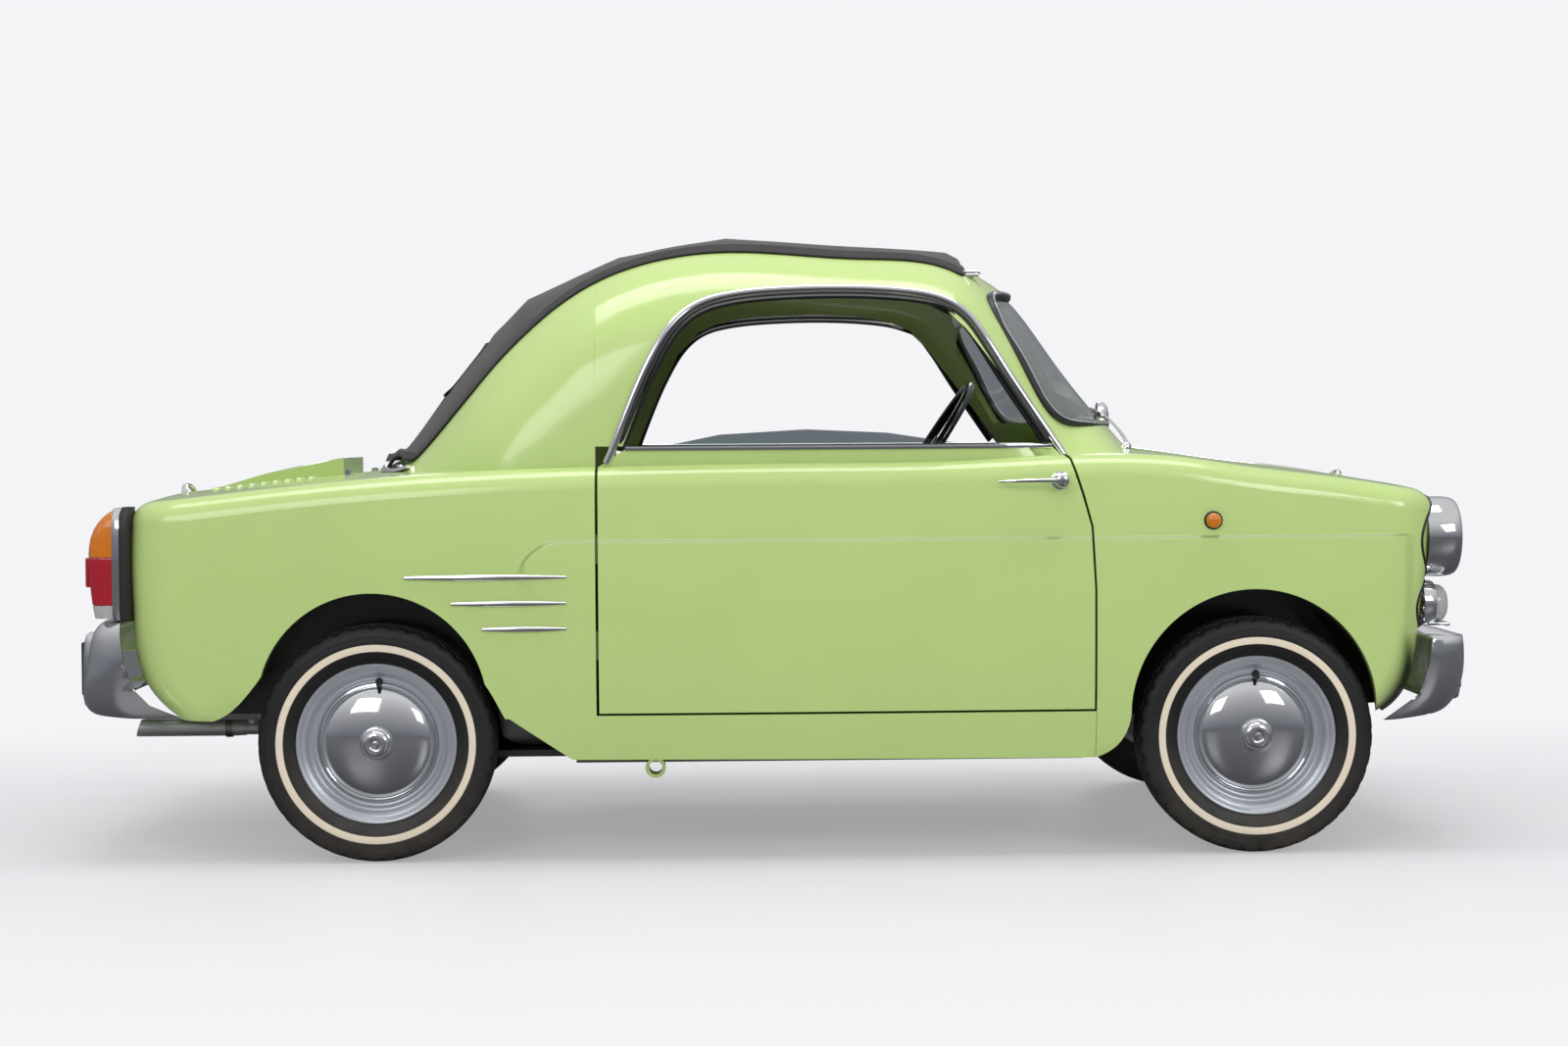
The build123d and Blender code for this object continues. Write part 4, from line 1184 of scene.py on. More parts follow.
# ---------------------------------------------------------------------------- trim round the windows
@dataclass
class WindowTrim:
    """Chrome and rubber round the side windows, the belt and the windscreen."""

    arch: tuple[Flat, ...] = (
        (-0.364, 0.832), (-0.35, 0.862), (-0.338, 0.894), (-0.322, 0.935), (-0.303, 0.982), (-0.287, 1.018),
        (-0.271, 1.05), (-0.25, 1.088), (-0.229, 1.118), (-0.209, 1.139), (-0.187, 1.157), (-0.159, 1.172),
        (-0.126, 1.183), (-0.065, 1.194), (0.017, 1.2), (0.12, 1.203), (0.223, 1.2), (0.303, 1.192),
        (0.345, 1.182), (0.376, 1.169), (0.4, 1.153), (0.421, 1.132), (0.441, 1.103), (0.461, 1.071),
        (0.487, 1.029), (0.518, 0.982), (0.548, 0.938), (0.585, 0.884), (0.616, 0.838))
    belt: Flat = (-0.316, 0.574)
    belt_z: float = 0.861

    def build(self, box: Paintbox) -> None:
        """Lay every strip.

        Args:
            box: the materials.
        """
        self.skin = Skin("windscreen_frame", "right_rear_quarter", "right_door", "right_front_fender",
                         "right_door_glass")
        self._arches(box)
        self._belts(box)
        self._screen(box)
        log.info("window trim laid")

    def _run(self, points: tuple[Flat, ...], inward: float, lift: float) -> list[Vector]:
        """Lay a line on the right side, moved toward the window's middle."""
        middle = Vector((0.1, 0.93))
        run = []
        for index, (x, z) in enumerate(points):
            before, after = Vector(points[max(0, index - 1)]), Vector(points[min(len(points) - 1, index + 1)])
            along_line = (after - before).normalized()
            across = Vector((along_line.y, -along_line.x))
            if across.dot(middle - Vector((x, z))) < 0:
                across = -across
            place = Vector((x, z)) + across * inward
            found = self.skin.side(place.x, place.y, Side.RIGHT)
            y = found.y if found and found.y < -0.38 else (run[-1].y + lift if run else -0.6)
            run.append(Vector((place.x, y - lift, place.y)))
        return run

    def _arches(self, box: Paintbox) -> None:
        """The broad bright arch, its rubber channel and the dark lining of the opening."""
        bright = [(-0.003, -0.0085), (0.002, -0.0085), (0.0052, -0.006), (0.0072, -0.002), (0.0072, 0.002),
                  (0.0052, 0.006), (0.002, 0.0085), (-0.003, 0.0085)]
        obj = swept(self._run(self.arch, 0.009, 0.001), bright)
        pair(obj, "window_arch", box["Bright chrome"], 45)
        obj = swept(self._run(self.arch[1:-1], 0.0205, 0.0), oval(0.012, 0.01, 10))
        pair(obj, "window_channel", box["Seal rubber"], 60)
        obj = swept(self._run(self.arch[1:-1], 0.029, -0.014), oval(0.03, 0.01, 12))
        pair(obj, "window_lining", box["Seal rubber"], 60)

    def _belts(self, box: Paintbox) -> None:
        """The bright strip along the top of each door, and the wipe seal inside it."""
        xs = [self.belt[0] + (self.belt[1] - self.belt[0]) * i / 12 for i in range(13)]
        edge = [self.skin.side(x, self.belt_z - 0.012, Side.RIGHT) for x in xs]
        points = [Vector((x, place.y + 0.004, self.belt_z - 0.003)) for x, place in zip(xs, edge)]
        section = [(-0.012, -0.004), (-0.0125, 0.001), (-0.01, 0.005), (-0.004, 0.0065), (0.004, 0.0062),
                   (0.009, 0.004), (0.01, -0.001), (0.009, -0.004)]
        obj = swept(points, section)
        pair(obj, "belt_strip", box["Bright chrome"], 45, "right_door")
        points = [point + Vector((0, 0.02, -0.001)) for point in points]
        obj = swept(points, oval(0.01, 0.012, 10))
        pair(obj, "belt_seal", box["Seal rubber"], 60, "right_door")

    def _screen(self, box: Paintbox) -> None:
        """The windscreen's rubber gasket with its bright insert."""
        face = Skin("windscreen_frame", "windscreen", "cowl")
        half = [
            (0.0, 1.19), (0.2, 1.19), (0.36, 1.186), (0.43, 1.176), (0.462, 1.15), (0.478, 1.11),
            (0.497, 1.05), (0.508, 1.0), (0.516, 0.95), (0.512, 0.918), (0.488, 0.903), (0.42, 0.902),
            (0.22, 0.902), (0.0, 0.902)]
        ring = [(-y, z) for y, z in half] + [(y, z) for y, z in reversed(half[1:-1])]
        points = []
        for y, z in ring:
            place = face.hit((1.6, y, z), (-1, 0, 0), 0.002)
            points.append(place)
        obj = swept(points, oval(0.02, 0.018, 14), closed=True)
        settle(obj, "screen_gasket", box["Seal rubber"], 60)
        points = [point + Vector((0.0052, 0, 0.0036)) for point in points]
        obj = swept(points, oval(0.011, 0.008, 12), closed=True)
        settle(obj, "screen_bright_insert", box["Bright chrome"], 60)


# ---------------------------------------------------------------------------- lamps
@dataclass
class FrontLamps:
    """Headlamps with deep chrome rims, and the turn lamps under them."""

    head: Flat = (0.524, 0.66)
    turn: Flat = (0.548, 0.519)
    rim: tuple[Flat, ...] = (
        (0.0835, 1.368), (0.0848, 1.39), (0.085, 1.408), (0.0842, 1.4205), (0.0824, 1.43), (0.0794, 1.4368),
        (0.0752, 1.4402), (0.0708, 1.441), (0.0676, 1.4392), (0.0658, 1.4355), (0.0652, 1.429), (0.065, 1.42))
    lens: tuple[Flat, ...] = ((0.0654, 1.429), (0.0652, 1.435), (0.061, 1.4385), (0.052, 1.4425),
                              (0.039, 1.4456), (0.022, 1.4475), (0.008, 1.448), (0.0, 1.4481))
    bowl: tuple[Flat, ...] = ((0.0648, 1.428), (0.06, 1.419), (0.052, 1.41), (0.042, 1.4015), (0.03, 1.395),
                              (0.018, 1.3915), (0.01, 1.3905), (0.0, 1.3903))
    bulb: tuple[Flat, ...] = ((0.011, 1.3905), (0.011, 1.396), (0.0075, 1.3975), (0.0085, 1.402),
                              (0.011, 1.408), (0.0105, 1.414), (0.007, 1.418), (0.0, 1.4195))
    seat: tuple[Flat, ...] = ((0.049, 1.362), (0.0492, 1.382), (0.047, 1.387), (0.042, 1.389),
                              (0.0405, 1.3888), (0.04, 1.38))
    clear: tuple[Flat, ...] = ((0.04, 1.384), (0.0402, 1.396), (0.0385, 1.404), (0.034, 1.411),
                               (0.0265, 1.4155), (0.016, 1.4176), (0.006, 1.4182), (0.0, 1.4182))

    def build(self, box: Paintbox) -> None:
        """Model the right pair and copy it to the left.

        Args:
            box: the materials.
        """
        head = (0.0, -self.head[0], self.head[1])
        turn = (0.0, -self.turn[0], self.turn[1])
        pieces = [self._shell(self.rim, head, 0.0013, "right_headlamp_rim", box["Bright chrome"], 96),
                  self._shell(self.lens, head, 0.0024, "right_headlamp_lens", box["Lamp glass"], 72),
                  self._shell(self.bowl, head, -0.0008, "right_headlamp_bowl", box["Lamp bowl"], 72),
                  self._shell(self.bulb, head, 0.0006, "right_headlamp_bulb", box["Lamp glass"], 24),
                  self._shell(self.seat, turn, 0.0012, "right_turn_lamp_seat", box["Bright chrome"], 64),
                  self._shell(self.clear, turn, 0.0018, "right_turn_lamp_lens", box["Clear lens"], 64)]
        bulb = turned([(0.0001, 1.386), (0.008, 1.388), (0.009, 1.396), (0.006, 1.402), (0.0, 1.404)], turn,
                      "X", 1, 20)
        pieces.append(settle(bulb, "right_turn_lamp_bulb", box["Amber lens"], 50))
        ledge = blocked((1.3965, turn[1], turn[2] - 0.0425), (0.046, 0.066, 0.009), 0.0035)
        pieces.append(settle(ledge, "right_turn_lamp_ledge", box["Bright chrome"], 40))
        pieces.append(self._gasket(head, 0.0862, "right_headlamp_gasket", box))
        pieces.append(self._gasket(turn, 0.0502, "right_turn_lamp_gasket", box))
        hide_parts("front_lamps")
        for piece in pieces:
            again(piece, piece.name.replace("right", "left"), "body")
        log.info("front lamps, %d pieces a side", len(pieces))

    @staticmethod
    def _shell(stations: tuple[Flat, ...], centre: Point, thickness: float, name: str,
               material: bpy.types.Material, steps: int) -> bpy.types.Object:
        """A thin turned shell facing forward."""
        obj = turned(list(stations), centre, "X", 1, steps)
        edit(obj)
        bpy.ops.mesh.normals_make_consistent(inside=False)
        close_edit()
        add_modifier(obj, "SOLIDIFY", thickness=abs(thickness), offset=-1 if thickness > 0 else 1)
        return settle(obj, name, material, 38)

    @staticmethod
    def _gasket(centre: Point, radius: float, name: str, box: Paintbox) -> bpy.types.Object:
        """A thin rubber ring where a lamp meets the body."""
        skin = Skin("nose_panel", "right_front_fender")
        points = []
        for step in range(36):
            angle = math.tau * step / 36
            place = skin.hit((1.7, centre[1] + radius * math.cos(angle),
                              centre[2] + radius * math.sin(angle)), (-1, 0, 0))
            if place and place.x > 1.3:
                points.append(place)
        return settle(swept(points, oval(0.007, 0.007, 8), closed=True), name, box["Seal rubber"], 60)


@dataclass
class TailLamps:
    """Tall tail lamps: amber over red over clear, in a chrome band on a dark gasket."""

    middle: float = 0.565
    front: float = -1.345
    back: tuple[Flat, ...] = (
        (0.512, -1.4225), (0.54, -1.4275), (0.574, -1.432), (0.64, -1.4347), (0.656, -1.4345), (0.68, -1.43),
        (0.7, -1.422), (0.716, -1.411), (0.729, -1.398), (0.7375, -1.384))
    breadth: tuple[Flat, ...] = ((0.512, 0.0425), (0.53, 0.0445), (0.6, 0.045), (0.69, 0.0445),
                                 (0.715, 0.041), (0.729, 0.035), (0.7375, 0.027))

    def build(self, box: Paintbox) -> None:
        """Model the right lamp and copy it to the left.

        Args:
            box: the materials.
        """
        pieces = [self._band((0.5125, 0.5395), "right_tail_clear_lens", box["Clear lens"]),
                  self._band((0.5405, 0.6395), "right_tail_red_lens", box["Red lens"]),
                  self._band((0.6405, 0.7375), "right_tail_amber_lens", box["Amber lens"]),
                  self._frame(0.0035, -1.388, "right_tail_lamp_band", box["Bright chrome"]),
                  self._frame(0.006, -1.3705, "right_tail_lamp_gasket", box["Seal rubber"])]
        block = blocked((-1.4345, -self.middle, 0.608), (0.014, 0.046, 0.062), 0.004)
        pieces.append(settle(block, "right_tail_reflector", box["Red lens"], 40))
        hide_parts("tail_lamps")
        for piece in pieces:
            again(piece, piece.name.replace("right", "left"), "body")
        log.info("tail lamps, %d pieces a side", len(pieces))

    def _ring(self, height: float, back: float, breadth: float) -> tuple[Point, float, float]:
        """One level ring of the lamp."""
        return ((self.front + back) / 2, -self.middle, height), (self.front - back) / 2, breadth

    def _band(self, span: Flat, name: str, material: bpy.types.Material) -> bpy.types.Object:
        """One lens between two heights."""
        low, high = span
        shares = (0, 0.015, 0.06, 0.2, 0.4, 0.6, 0.75, 0.86, 0.94, 0.985, 1)
        heights = [low + (high - low) * share for share in shares]
        trim = [0.0012, 0.0003, 0, 0, 0, 0, 0, 0, 0, 0.0003, 0.0012]
        rings = [self._ring(z, along(self.back, z) + cut, along(self.breadth, z) - cut)
                 for z, cut in zip(heights, trim)]
        return settle(stacked(rings), name, material, 40)

    def _frame(self, grow: float, back: float, name: str, material: bpy.types.Material) -> bpy.types.Object:
        """The band or the gasket round the lenses."""
        low, high = self.back[0][0] - grow, self.back[-1][0] + grow
        shares = (0, 0.01, 0.04, 0.12, 0.5, 0.75, 0.86, 0.93, 0.975, 1)
        rings = []
        for share in shares:
            z = low + (high - low) * share
            cut = 0.004 * max(0.0, 1 - share / 0.04) ** 2 + 0.006 * max(0.0, (share - 0.93) / 0.07) ** 2
            rings.append(self._ring(z, back + cut, along(self.breadth, z) + grow - cut * 0.5))
        return settle(stacked(rings), name, material, 40)


# ---------------------------------------------------------------------------- bumpers
@dataclass
class Bumpers:
    """The two deep chrome bumpers, their over-riders and the rubber on them."""

    reach: float = 0.33
    front: tuple[Point, ...] = (
        (0.296, 0.026, 0.022), (0.3, 0.031, 0.027), (0.315, 0.034, 0.03), (0.345, 0.0345, 0.0305),
        (0.385, 0.0335, 0.029), (0.412, 0.031, 0.026), (0.426, 0.027, 0.021), (0.432, 0.02, 0.014))
    rear: tuple[Point, ...] = (
        (0.305, 0.026, 0.022), (0.309, 0.031, 0.027), (0.325, 0.034, 0.03), (0.37, 0.0345, 0.0305),
        (0.415, 0.0335, 0.029), (0.445, 0.031, 0.026), (0.46, 0.027, 0.021), (0.466, 0.02, 0.014))

    def build(self, box: Paintbox) -> None:
        """Carry the bumpers over and add the rest.

        Args:
            box: the materials.
        """
        front_drop = [((1.4395, side * self.reach - 0.0305, 0.29), (1.52, side * self.reach + 0.0305, 0.44))
                      for side in (-1, 1)]
        rear_drop = [((-1.52, side * self.reach - 0.0305, 0.3), (-1.4395, side * self.reach + 0.0305, 0.47))
                     for side in (-1, 1)]
        carried("front_bumper", "front_bumper_shell", box["Bright chrome"], "body", front_drop, 28)
        carried("rear_bumper", "rear_bumper_shell", box["Bright chrome"], "body", rear_drop, 28)
        for end, middle, rows, sense in (("front", 1.472, self.front, 1), ("rear", -1.472, self.rear, -1)):
            rings = [((middle, -self.reach, z), long, wide) for z, long, wide in rows]
            horn = settle(stacked(rings, 3.2), f"{end}_right_over_rider", box["Bright chrome"], 42)
            low, high = rows[2][0] + 0.004, rows[-3][0]
            pad = blocked((middle + sense * 0.0325, -self.reach, (low + high) / 2),
                          (0.01, 0.024, high - low), 0.004)
            pad = settle(pad, f"{end}_right_rubber_strip", box["Seal rubber"], 45)
            again(horn, f"{end}_left_over_rider", "body")
            again(pad, f"{end}_left_rubber_strip", "body")
        self._screws(box)
        log.info("bumpers fitted")

    def _screws(self, box: Paintbox) -> None:
        """Domed bolt heads on the bumpers' faces."""
        heads = []
        for skin, start, along_x in ((Skin("front_bumper"), 1.8, -1), (Skin("rear_bumper"), -1.8, 1)):
            for y in (-0.52, -0.17, 0.17, 0.52):
                spot = skin.hit((start, y, 0.395), (along_x, 0, 0))
                if spot is None or abs(spot.x) < 1.35:
                    continue
                heads.append(turned([(0.0001, -0.001), (0.0105, -0.001), (0.0105, 0.0012), (0.0085, 0.0034),
                                     (0.0045, 0.0046), (0.0, 0.005)], tuple(spot), "X", -along_x, 20))
        settle(join(heads), "bumper_bolt_heads", box["Bright chrome"], 45)


@dataclass
class BodyDetails:
    """Bright trim and fittings on the outside of the body."""

    spears: tuple[Point, ...] = ((-0.773, -0.439, 0.594), (-0.677, -0.439, 0.54), (-0.613, -0.439, 0.487))
    indicator: Flat = (0.906, 0.701)
    handle: Point = (0.458, 0.599, 0.7865)
    mirror: Point = (0.846, 0.59, 0.927)
    pipe: Point = (-1.178, -0.2, 0.243)
    side: Side = Side.RIGHT

    def build(self, box: Paintbox) -> None:
        """Build each fitting on the right and copy it to the left."""
        self.skin = Skin("right_rear_quarter", "right_front_fender", "right_door", "right_sill")
        self.decks = Skin("engine_lid", "bonnet", "rear_deck", "cowl", "nose_panel", "tail_panel")
        self._spears(box)
        self._handle(box)
        self._indicator(box)
        self._exhaust(box)
        self._jack(box)
        self._engine_lid(box)
        self._bonnet(box)
        self._wipers(box)
        self._wing_mirror(box)
        self._plate(box)
        self._seam(box)
        log.info("outside fittings")

    def _spears(self, box: Paintbox) -> None:
        """Three pointed bright strips on each rear quarter."""
        pieces = []
        for rear, front, height in self.spears:
            count = 9
            points, sizes = [], []
            for step in range(count):
                share = step / (count - 1)
                place = self.skin.side(rear + (front - rear) * share, height, self.side, 0.0015)
                points.append(place)
                sizes.append(0.25 + 0.75 * math.sin(math.pi * min(1.0, share * 0.9 + 0.08)) ** 0.6)
            section = [(-0.003, -0.0075), (0.001, -0.0065), (0.0045, -0.003), (0.0055, 0.0), (0.0045, 0.003),
                       (0.001, 0.0065), (-0.003, 0.0075)]
            pieces.append(swept(points, section, taper=sizes))
        pair(join(pieces), "quarter_spears", box["Bright chrome"], 45)

    def _handle(self, box: Paintbox) -> None:
        """The door handle: a round boss with its lock and a tapered grip."""
        rear, front, height = self.handle
        boss = self.skin.side(front - 0.012, height, self.side)
        foot = self.skin.side(rear + 0.01, height, self.side)
        knob = turned([(0.0165, -0.002), (0.0165, 0.004), (0.0135, 0.009), (0.0125, 0.022), (0.015, 0.026),
                       (0.0155, 0.032), (0.012, 0.036), (0.005, 0.0372), (0.0, 0.0374)], tuple(boss), "Y",
                      -1, 36)
        grip = swept([boss + Vector((0, -0.029, 0)), boss + Vector((-0.03, -0.032, 0.0005)),
                      boss + Vector((-0.07, -0.03, 0.0)), (rear + 0.02, foot.y - 0.024, height - 0.001),
                      (rear, foot.y - 0.014, height - 0.002)], oval(0.011, 0.0095, 12),
                     taper=[1.15, 1.1, 0.95, 0.8, 0.6])
        seat = turned([(0.019, -0.002), (0.0195, 0.0015), (0.0165, 0.003), (0.0, 0.0031)], tuple(boss), "Y",
                      -1, 36)
        pair(join([knob, grip, seat]), "door_handle", box["Bright chrome"], 50, "right_door")

    def _indicator(self, box: Paintbox) -> None:
        """The small round side lamp on each front wing."""
        spot = self.skin.side(*self.indicator, self.side)
        base = turned([(0.0195, -0.004), (0.0195, 0.002), (0.018, 0.0045), (0.016, 0.005), (0.0, 0.0051)],
                      tuple(spot), "Y", -1, 40)
        pair(base, "side_lamp_base", box["Seal rubber"], 50)
        lens = turned([(0.0158, 0.0045), (0.0155, 0.009), (0.013, 0.0135), (0.009, 0.016), (0.0045, 0.0172),
                       (0.0, 0.0175)], tuple(spot), "Y", -1, 40)
        pair(lens, "side_lamp_lens", box["Amber lens"], 60)

    def _exhaust(self, box: Paintbox) -> None:
        """The wrapped tail pipe with its slash-cut end and a clamp."""
        stations = [(0.015, -0.236), (0.0188, -0.236), (0.0195, -0.228), (0.0195, -0.02), (0.0188, -0.01),
                    (0.0186, 0.0), (0.015, 0.0)]
        pipe = turned(stations, self.pipe, "X", 1, 40)
        for corner in pipe.data.vertices:
            if corner.co.x < -1.39:
                corner.co.x -= (self.pipe[2] - corner.co.z) * 0.3 + 0.001
        settle(pipe, "exhaust_tail_pipe", box["Exhaust wrap"], 50)
        clamp = turned([(0.0196, -0.007), (0.0225, -0.007), (0.0225, 0.007), (0.0196, 0.007)],
                       (-1.215, -0.2, 0.243), "X", 1, 32)
        bolt = blocked((-1.215, -0.2, 0.272), (0.01, 0.008, 0.022), 0.0015, 2)
        settle(join([clamp, bolt]), "exhaust_clamp", box["Bare steel"], 40)

    def _jack(self, box: Paintbox) -> None:
        """A rolled lip round each jack socket."""
        lip = turned([(0.0142, 0.0), (0.015, 0.003), (0.018, 0.0045), (0.0205, 0.003), (0.0212, -0.002),
                      (0.0203, -0.006)], (-0.258, -0.6255, 0.194), "Y", -1, 36)
        pair(lip, "jack_lip", box["Inner lime enamel"], 50)

    def _engine_lid(self, box: Paintbox) -> None:
        """Pressed louvres either side of the scoop, a handle at the rear edge and two hinges."""
        vents = []
        for row in range(9):
            x = -1.225 + row * 0.026
            place = self.decks.top(x, -0.245, 0.0)
            vents.append(stacked([((x, -0.245, place.z - 0.003), 0.0095, 0.052),
                                  ((x, -0.245, place.z + 0.0015), 0.0085, 0.05),
                                  ((x - 0.002, -0.245, place.z + 0.0045), 0.005, 0.046)], 3.0, 20))
        pair(join(vents), "lid_louvres", box["Lime enamel"], 40, "engine_lid")
        foot = self.decks.top(-1.335, 0.0)
        line = beside(foot, (0, -0.06, 0.002), (-0.004, -0.045, 0.016), (-0.006, 0, 0.02),
                      (-0.004, 0.045, 0.016), (0, 0.06, 0.002))
        handle = swept(line, oval(0.013, 0.009, 12))
        settle(handle, "engine_lid_handle", box["Bright chrome"], 60, "engine_lid")
        knuckles = []
        for y in (-0.235, 0.235):
            place = self.decks.top(-0.94, y)
            knuckles.append(turned([(0.0001, -0.024), (0.006, -0.024), (0.006, 0.024), (0.0, 0.024)],
                                   (place.x, y, place.z + 0.005), "Y", 1, 16))
        settle(join(knuckles), "engine_lid_hinge_pins", box["Bright chrome"], 40, "engine_lid")
        spear = [self.decks.top(x, 0.0, 0.002) for x in (-1.26, -1.2, -1.12, -1.04, -0.97)]
        settle(swept(spear, oval(0.01, 0.006, 10), taper=[0.3, 0.8, 1.0, 1.0, 0.6]), "scoop_bright_strip",
               box["Bright chrome"], 60, "engine_lid")

    def _bonnet(self, box: Paintbox) -> None:
        """The strip along the middle of the bonnet and its lifting lip."""
        run = [self.decks.top(0.83 + 0.045 * step, 0.0, 0.002) for step in range(11)]
        strip = swept(run, oval(0.012, 0.006, 10), taper=[0.4] + [1.0] * 9 + [0.5])
        settle(strip, "bonnet_strip", box["Bright chrome"], 60, "bonnet")
        lip = self.decks.top(1.3, 0.0)
        line = beside(lip, (0.006, -0.045, 0.001), (0.012, -0.025, 0.008), (0.013, 0.0, 0.01),
                      (0.012, 0.025, 0.008), (0.006, 0.045, 0.001))
        grip = swept(line, oval(0.012, 0.008, 10))
        settle(grip, "bonnet_handle", box["Bright chrome"], 60, "bonnet")

    def _wipers(self, box: Paintbox) -> None:
        """Two wipers parked along the foot of the screen."""
        screen = Skin("windscreen", "windscreen_frame", "cowl", "bonnet", "right_front_fender",
                      "left_front_fender")
        for name, y in (("right", -0.335), ("left", 0.135)):
            pivot = screen.top(0.772, y)
            head = turned([(0.01, -0.006), (0.0105, 0.006), (0.0085, 0.012), (0.004, 0.015), (0.0, 0.0155)],
                          tuple(pivot), "Z", 1, 24)
            line = []
            for step in range(8):
                share = step / 7
                place = screen.hit((1.5, y + 0.05 + 0.235 * share, 0.922 + 0.014 * share), (-1, 0, 0))
                line.append(place)
            line = [place for place in line if place]
            blade = swept([place + Vector((0.007, 0, 0.003)) for place in line], oval(0.008, 0.01, 8))
            middle = line[len(line) // 2] + Vector((0.013, 0, 0.006))
            arm = swept([pivot + Vector((0, 0, 0.01)), pivot + Vector((0.004, 0.03, 0.024)),
                         middle + Vector((0.003, -0.04, -0.004)), middle], oval(0.009, 0.005, 10),
                        taper=[1.0, 1.0, 0.7, 0.6])
            settle(join([head, arm]), f"{name}_wiper_arm", box["Bright chrome"], 50)
            settle(blade, f"{name}_wiper_blade", box["Seal rubber"], 50)

    def _wing_mirror(self, box: Paintbox) -> None:
        """The round wing mirror on its stem, on the driver's side."""
        stem = swept([(0.846, 0.57, 0.812), (0.846, 0.577, 0.85), (0.846, 0.586, 0.9),
                      (0.848, 0.59, 0.925)], oval(0.0125, 0.0125, 12), taper=[1.25, 1.0, 0.85, 0.8])
        shell = turned([(0.0345, -0.01), (0.0372, -0.009), (0.0374, 0.001), (0.0355, 0.009), (0.027, 0.016),
                        (0.013, 0.0195), (0.0, 0.02)], self.mirror, "X", 1, 40)
        stem = settle(join([stem, shell]), "wing_mirror_shell", box["Bright chrome"], 50)
        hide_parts("wing_mirror")
        face = turned([(0.0344, 0.0), (0.0344, -0.0012), (0.0, -0.0012)], (0.8375, 0.59, 0.927), "X", 1, 40)
        settle(face, "wing_mirror_glass", box["Bright chrome"], 40)

    def _seam(self, box: Paintbox, x: float = -0.3795) -> None:
        """Leaded joints that close the line between the rear quarters and the window frame."""
        roof = Skin("right_rear_quarter", "windscreen_frame")
        points = []
        for step in range(20):
            angle = math.radians(-3 + 66 * step / 19)
            way = Vector((0, math.cos(angle), -math.sin(angle)))
            start = Vector((0, -math.cos(angle) * 2, 0.9 + math.sin(angle) * 2))
            edges = [roof.hit((x + shift, start.y, start.z), tuple(way)) for shift in (-0.003, 0.003)]
            if all(edges):
                points.append((edges[0] + edges[1]) / 2 + way * 0.00075)
        pair(swept(points, oval(0.0022, 0.0022, 10)), "roof_joint", box["Lime enamel"], 60)

    def _plate(self, box: Paintbox) -> None:
        """A blank rear plate on its two screws, and the lamp over it."""
        plate = blocked((-1.3735, 0.0, 0.6), (0.0022, 0.27, 0.17), 0.001, 2)
        settle(plate, "rear_blank_plate", box["Silver wheel paint"], 40)
        lamp = stacked([((-1.372, 0.0, 0.694), 0.02, 0.052), ((-1.376, 0.0, 0.7), 0.024, 0.056),
                        ((-1.376, 0.0, 0.712), 0.022, 0.054), ((-1.372, 0.0, 0.72), 0.014, 0.046)], 3.0, 28)
        settle(lamp, "rear_plate_lamp", box["Bright chrome"], 50)
        screws = [turned([(0.0055, 0.0), (0.0055, -0.002), (0.0038, -0.0036), (0.0, -0.0038)],
                         (-1.3745, y, 0.6), "X", 1, 20) for y in (-0.06, 0.06)]
        settle(join(screws), "rear_plate_screws", box["Bare steel"], 45)


def outline_prism(outline: tuple[Flat, ...], left: float, right: float, bevel: float) -> bpy.types.Object:
    """A side-view outline drawn out across the car, with rounded edges, as a start for padding."""
    rest_all()
    bpy.ops.mesh.primitive_circle_add(vertices=len(outline), radius=1.0, fill_type="NGON")
    obj = bpy.context.object
    for corner, (x, z) in zip(obj.data.vertices, outline):
        corner.co = (x, left, z)
    edit(obj)
    bpy.ops.mesh.extrude_region_move(TRANSFORM_OT_translate={"value": (0, right - left, 0)})
    bpy.ops.mesh.select_all(action="SELECT")
    bpy.ops.mesh.normals_make_consistent(inside=False)
    close_edit()
    add_modifier(obj, "BEVEL", width=bevel, segments=3, limit_method="NONE")
    apply_all(obj)
    return obj


@dataclass
class Padding:
    """How a stuffed piece is made: remeshed, blown up as cloth, and its swelling capped."""

    voxel: float = 0.008
    pressure: float = 4.0
    frames: int = 20
    cap: float = 0.016

    def swell(self, obj: bpy.types.Object) -> None:
        """Blow the piece up a little, so that its faces crown and its sides pull in between the corners."""
        add_modifier(obj, "REMESH", mode="VOXEL", voxel_size=self.voxel)
        apply_all(obj)
        start = [corner.co.copy() for corner in obj.data.vertices]
        cloth = add_modifier(obj, "CLOTH")
        cloth.settings.quality = 4
        cloth.settings.mass = 0.3
        cloth.settings.use_pressure = True
        cloth.settings.uniform_pressure_force = self.pressure
        cloth.settings.effector_weights.gravity = 0.0
        cloth.point_cache.frame_start = 1
        cloth.point_cache.frame_end = self.frames
        for frame_number in range(1, self.frames + 1):
            bpy.context.scene.frame_set(frame_number)
        apply_all(obj)
        for corner, before in zip(obj.data.vertices, start):
            move = corner.co - before
            if move.length > self.cap:
                corner.co = before + move * (self.cap / move.length)
        bpy.context.scene.frame_set(1)
        add_modifier(obj, "SUBSURF", levels=1, render_levels=1)
        apply_all(obj)


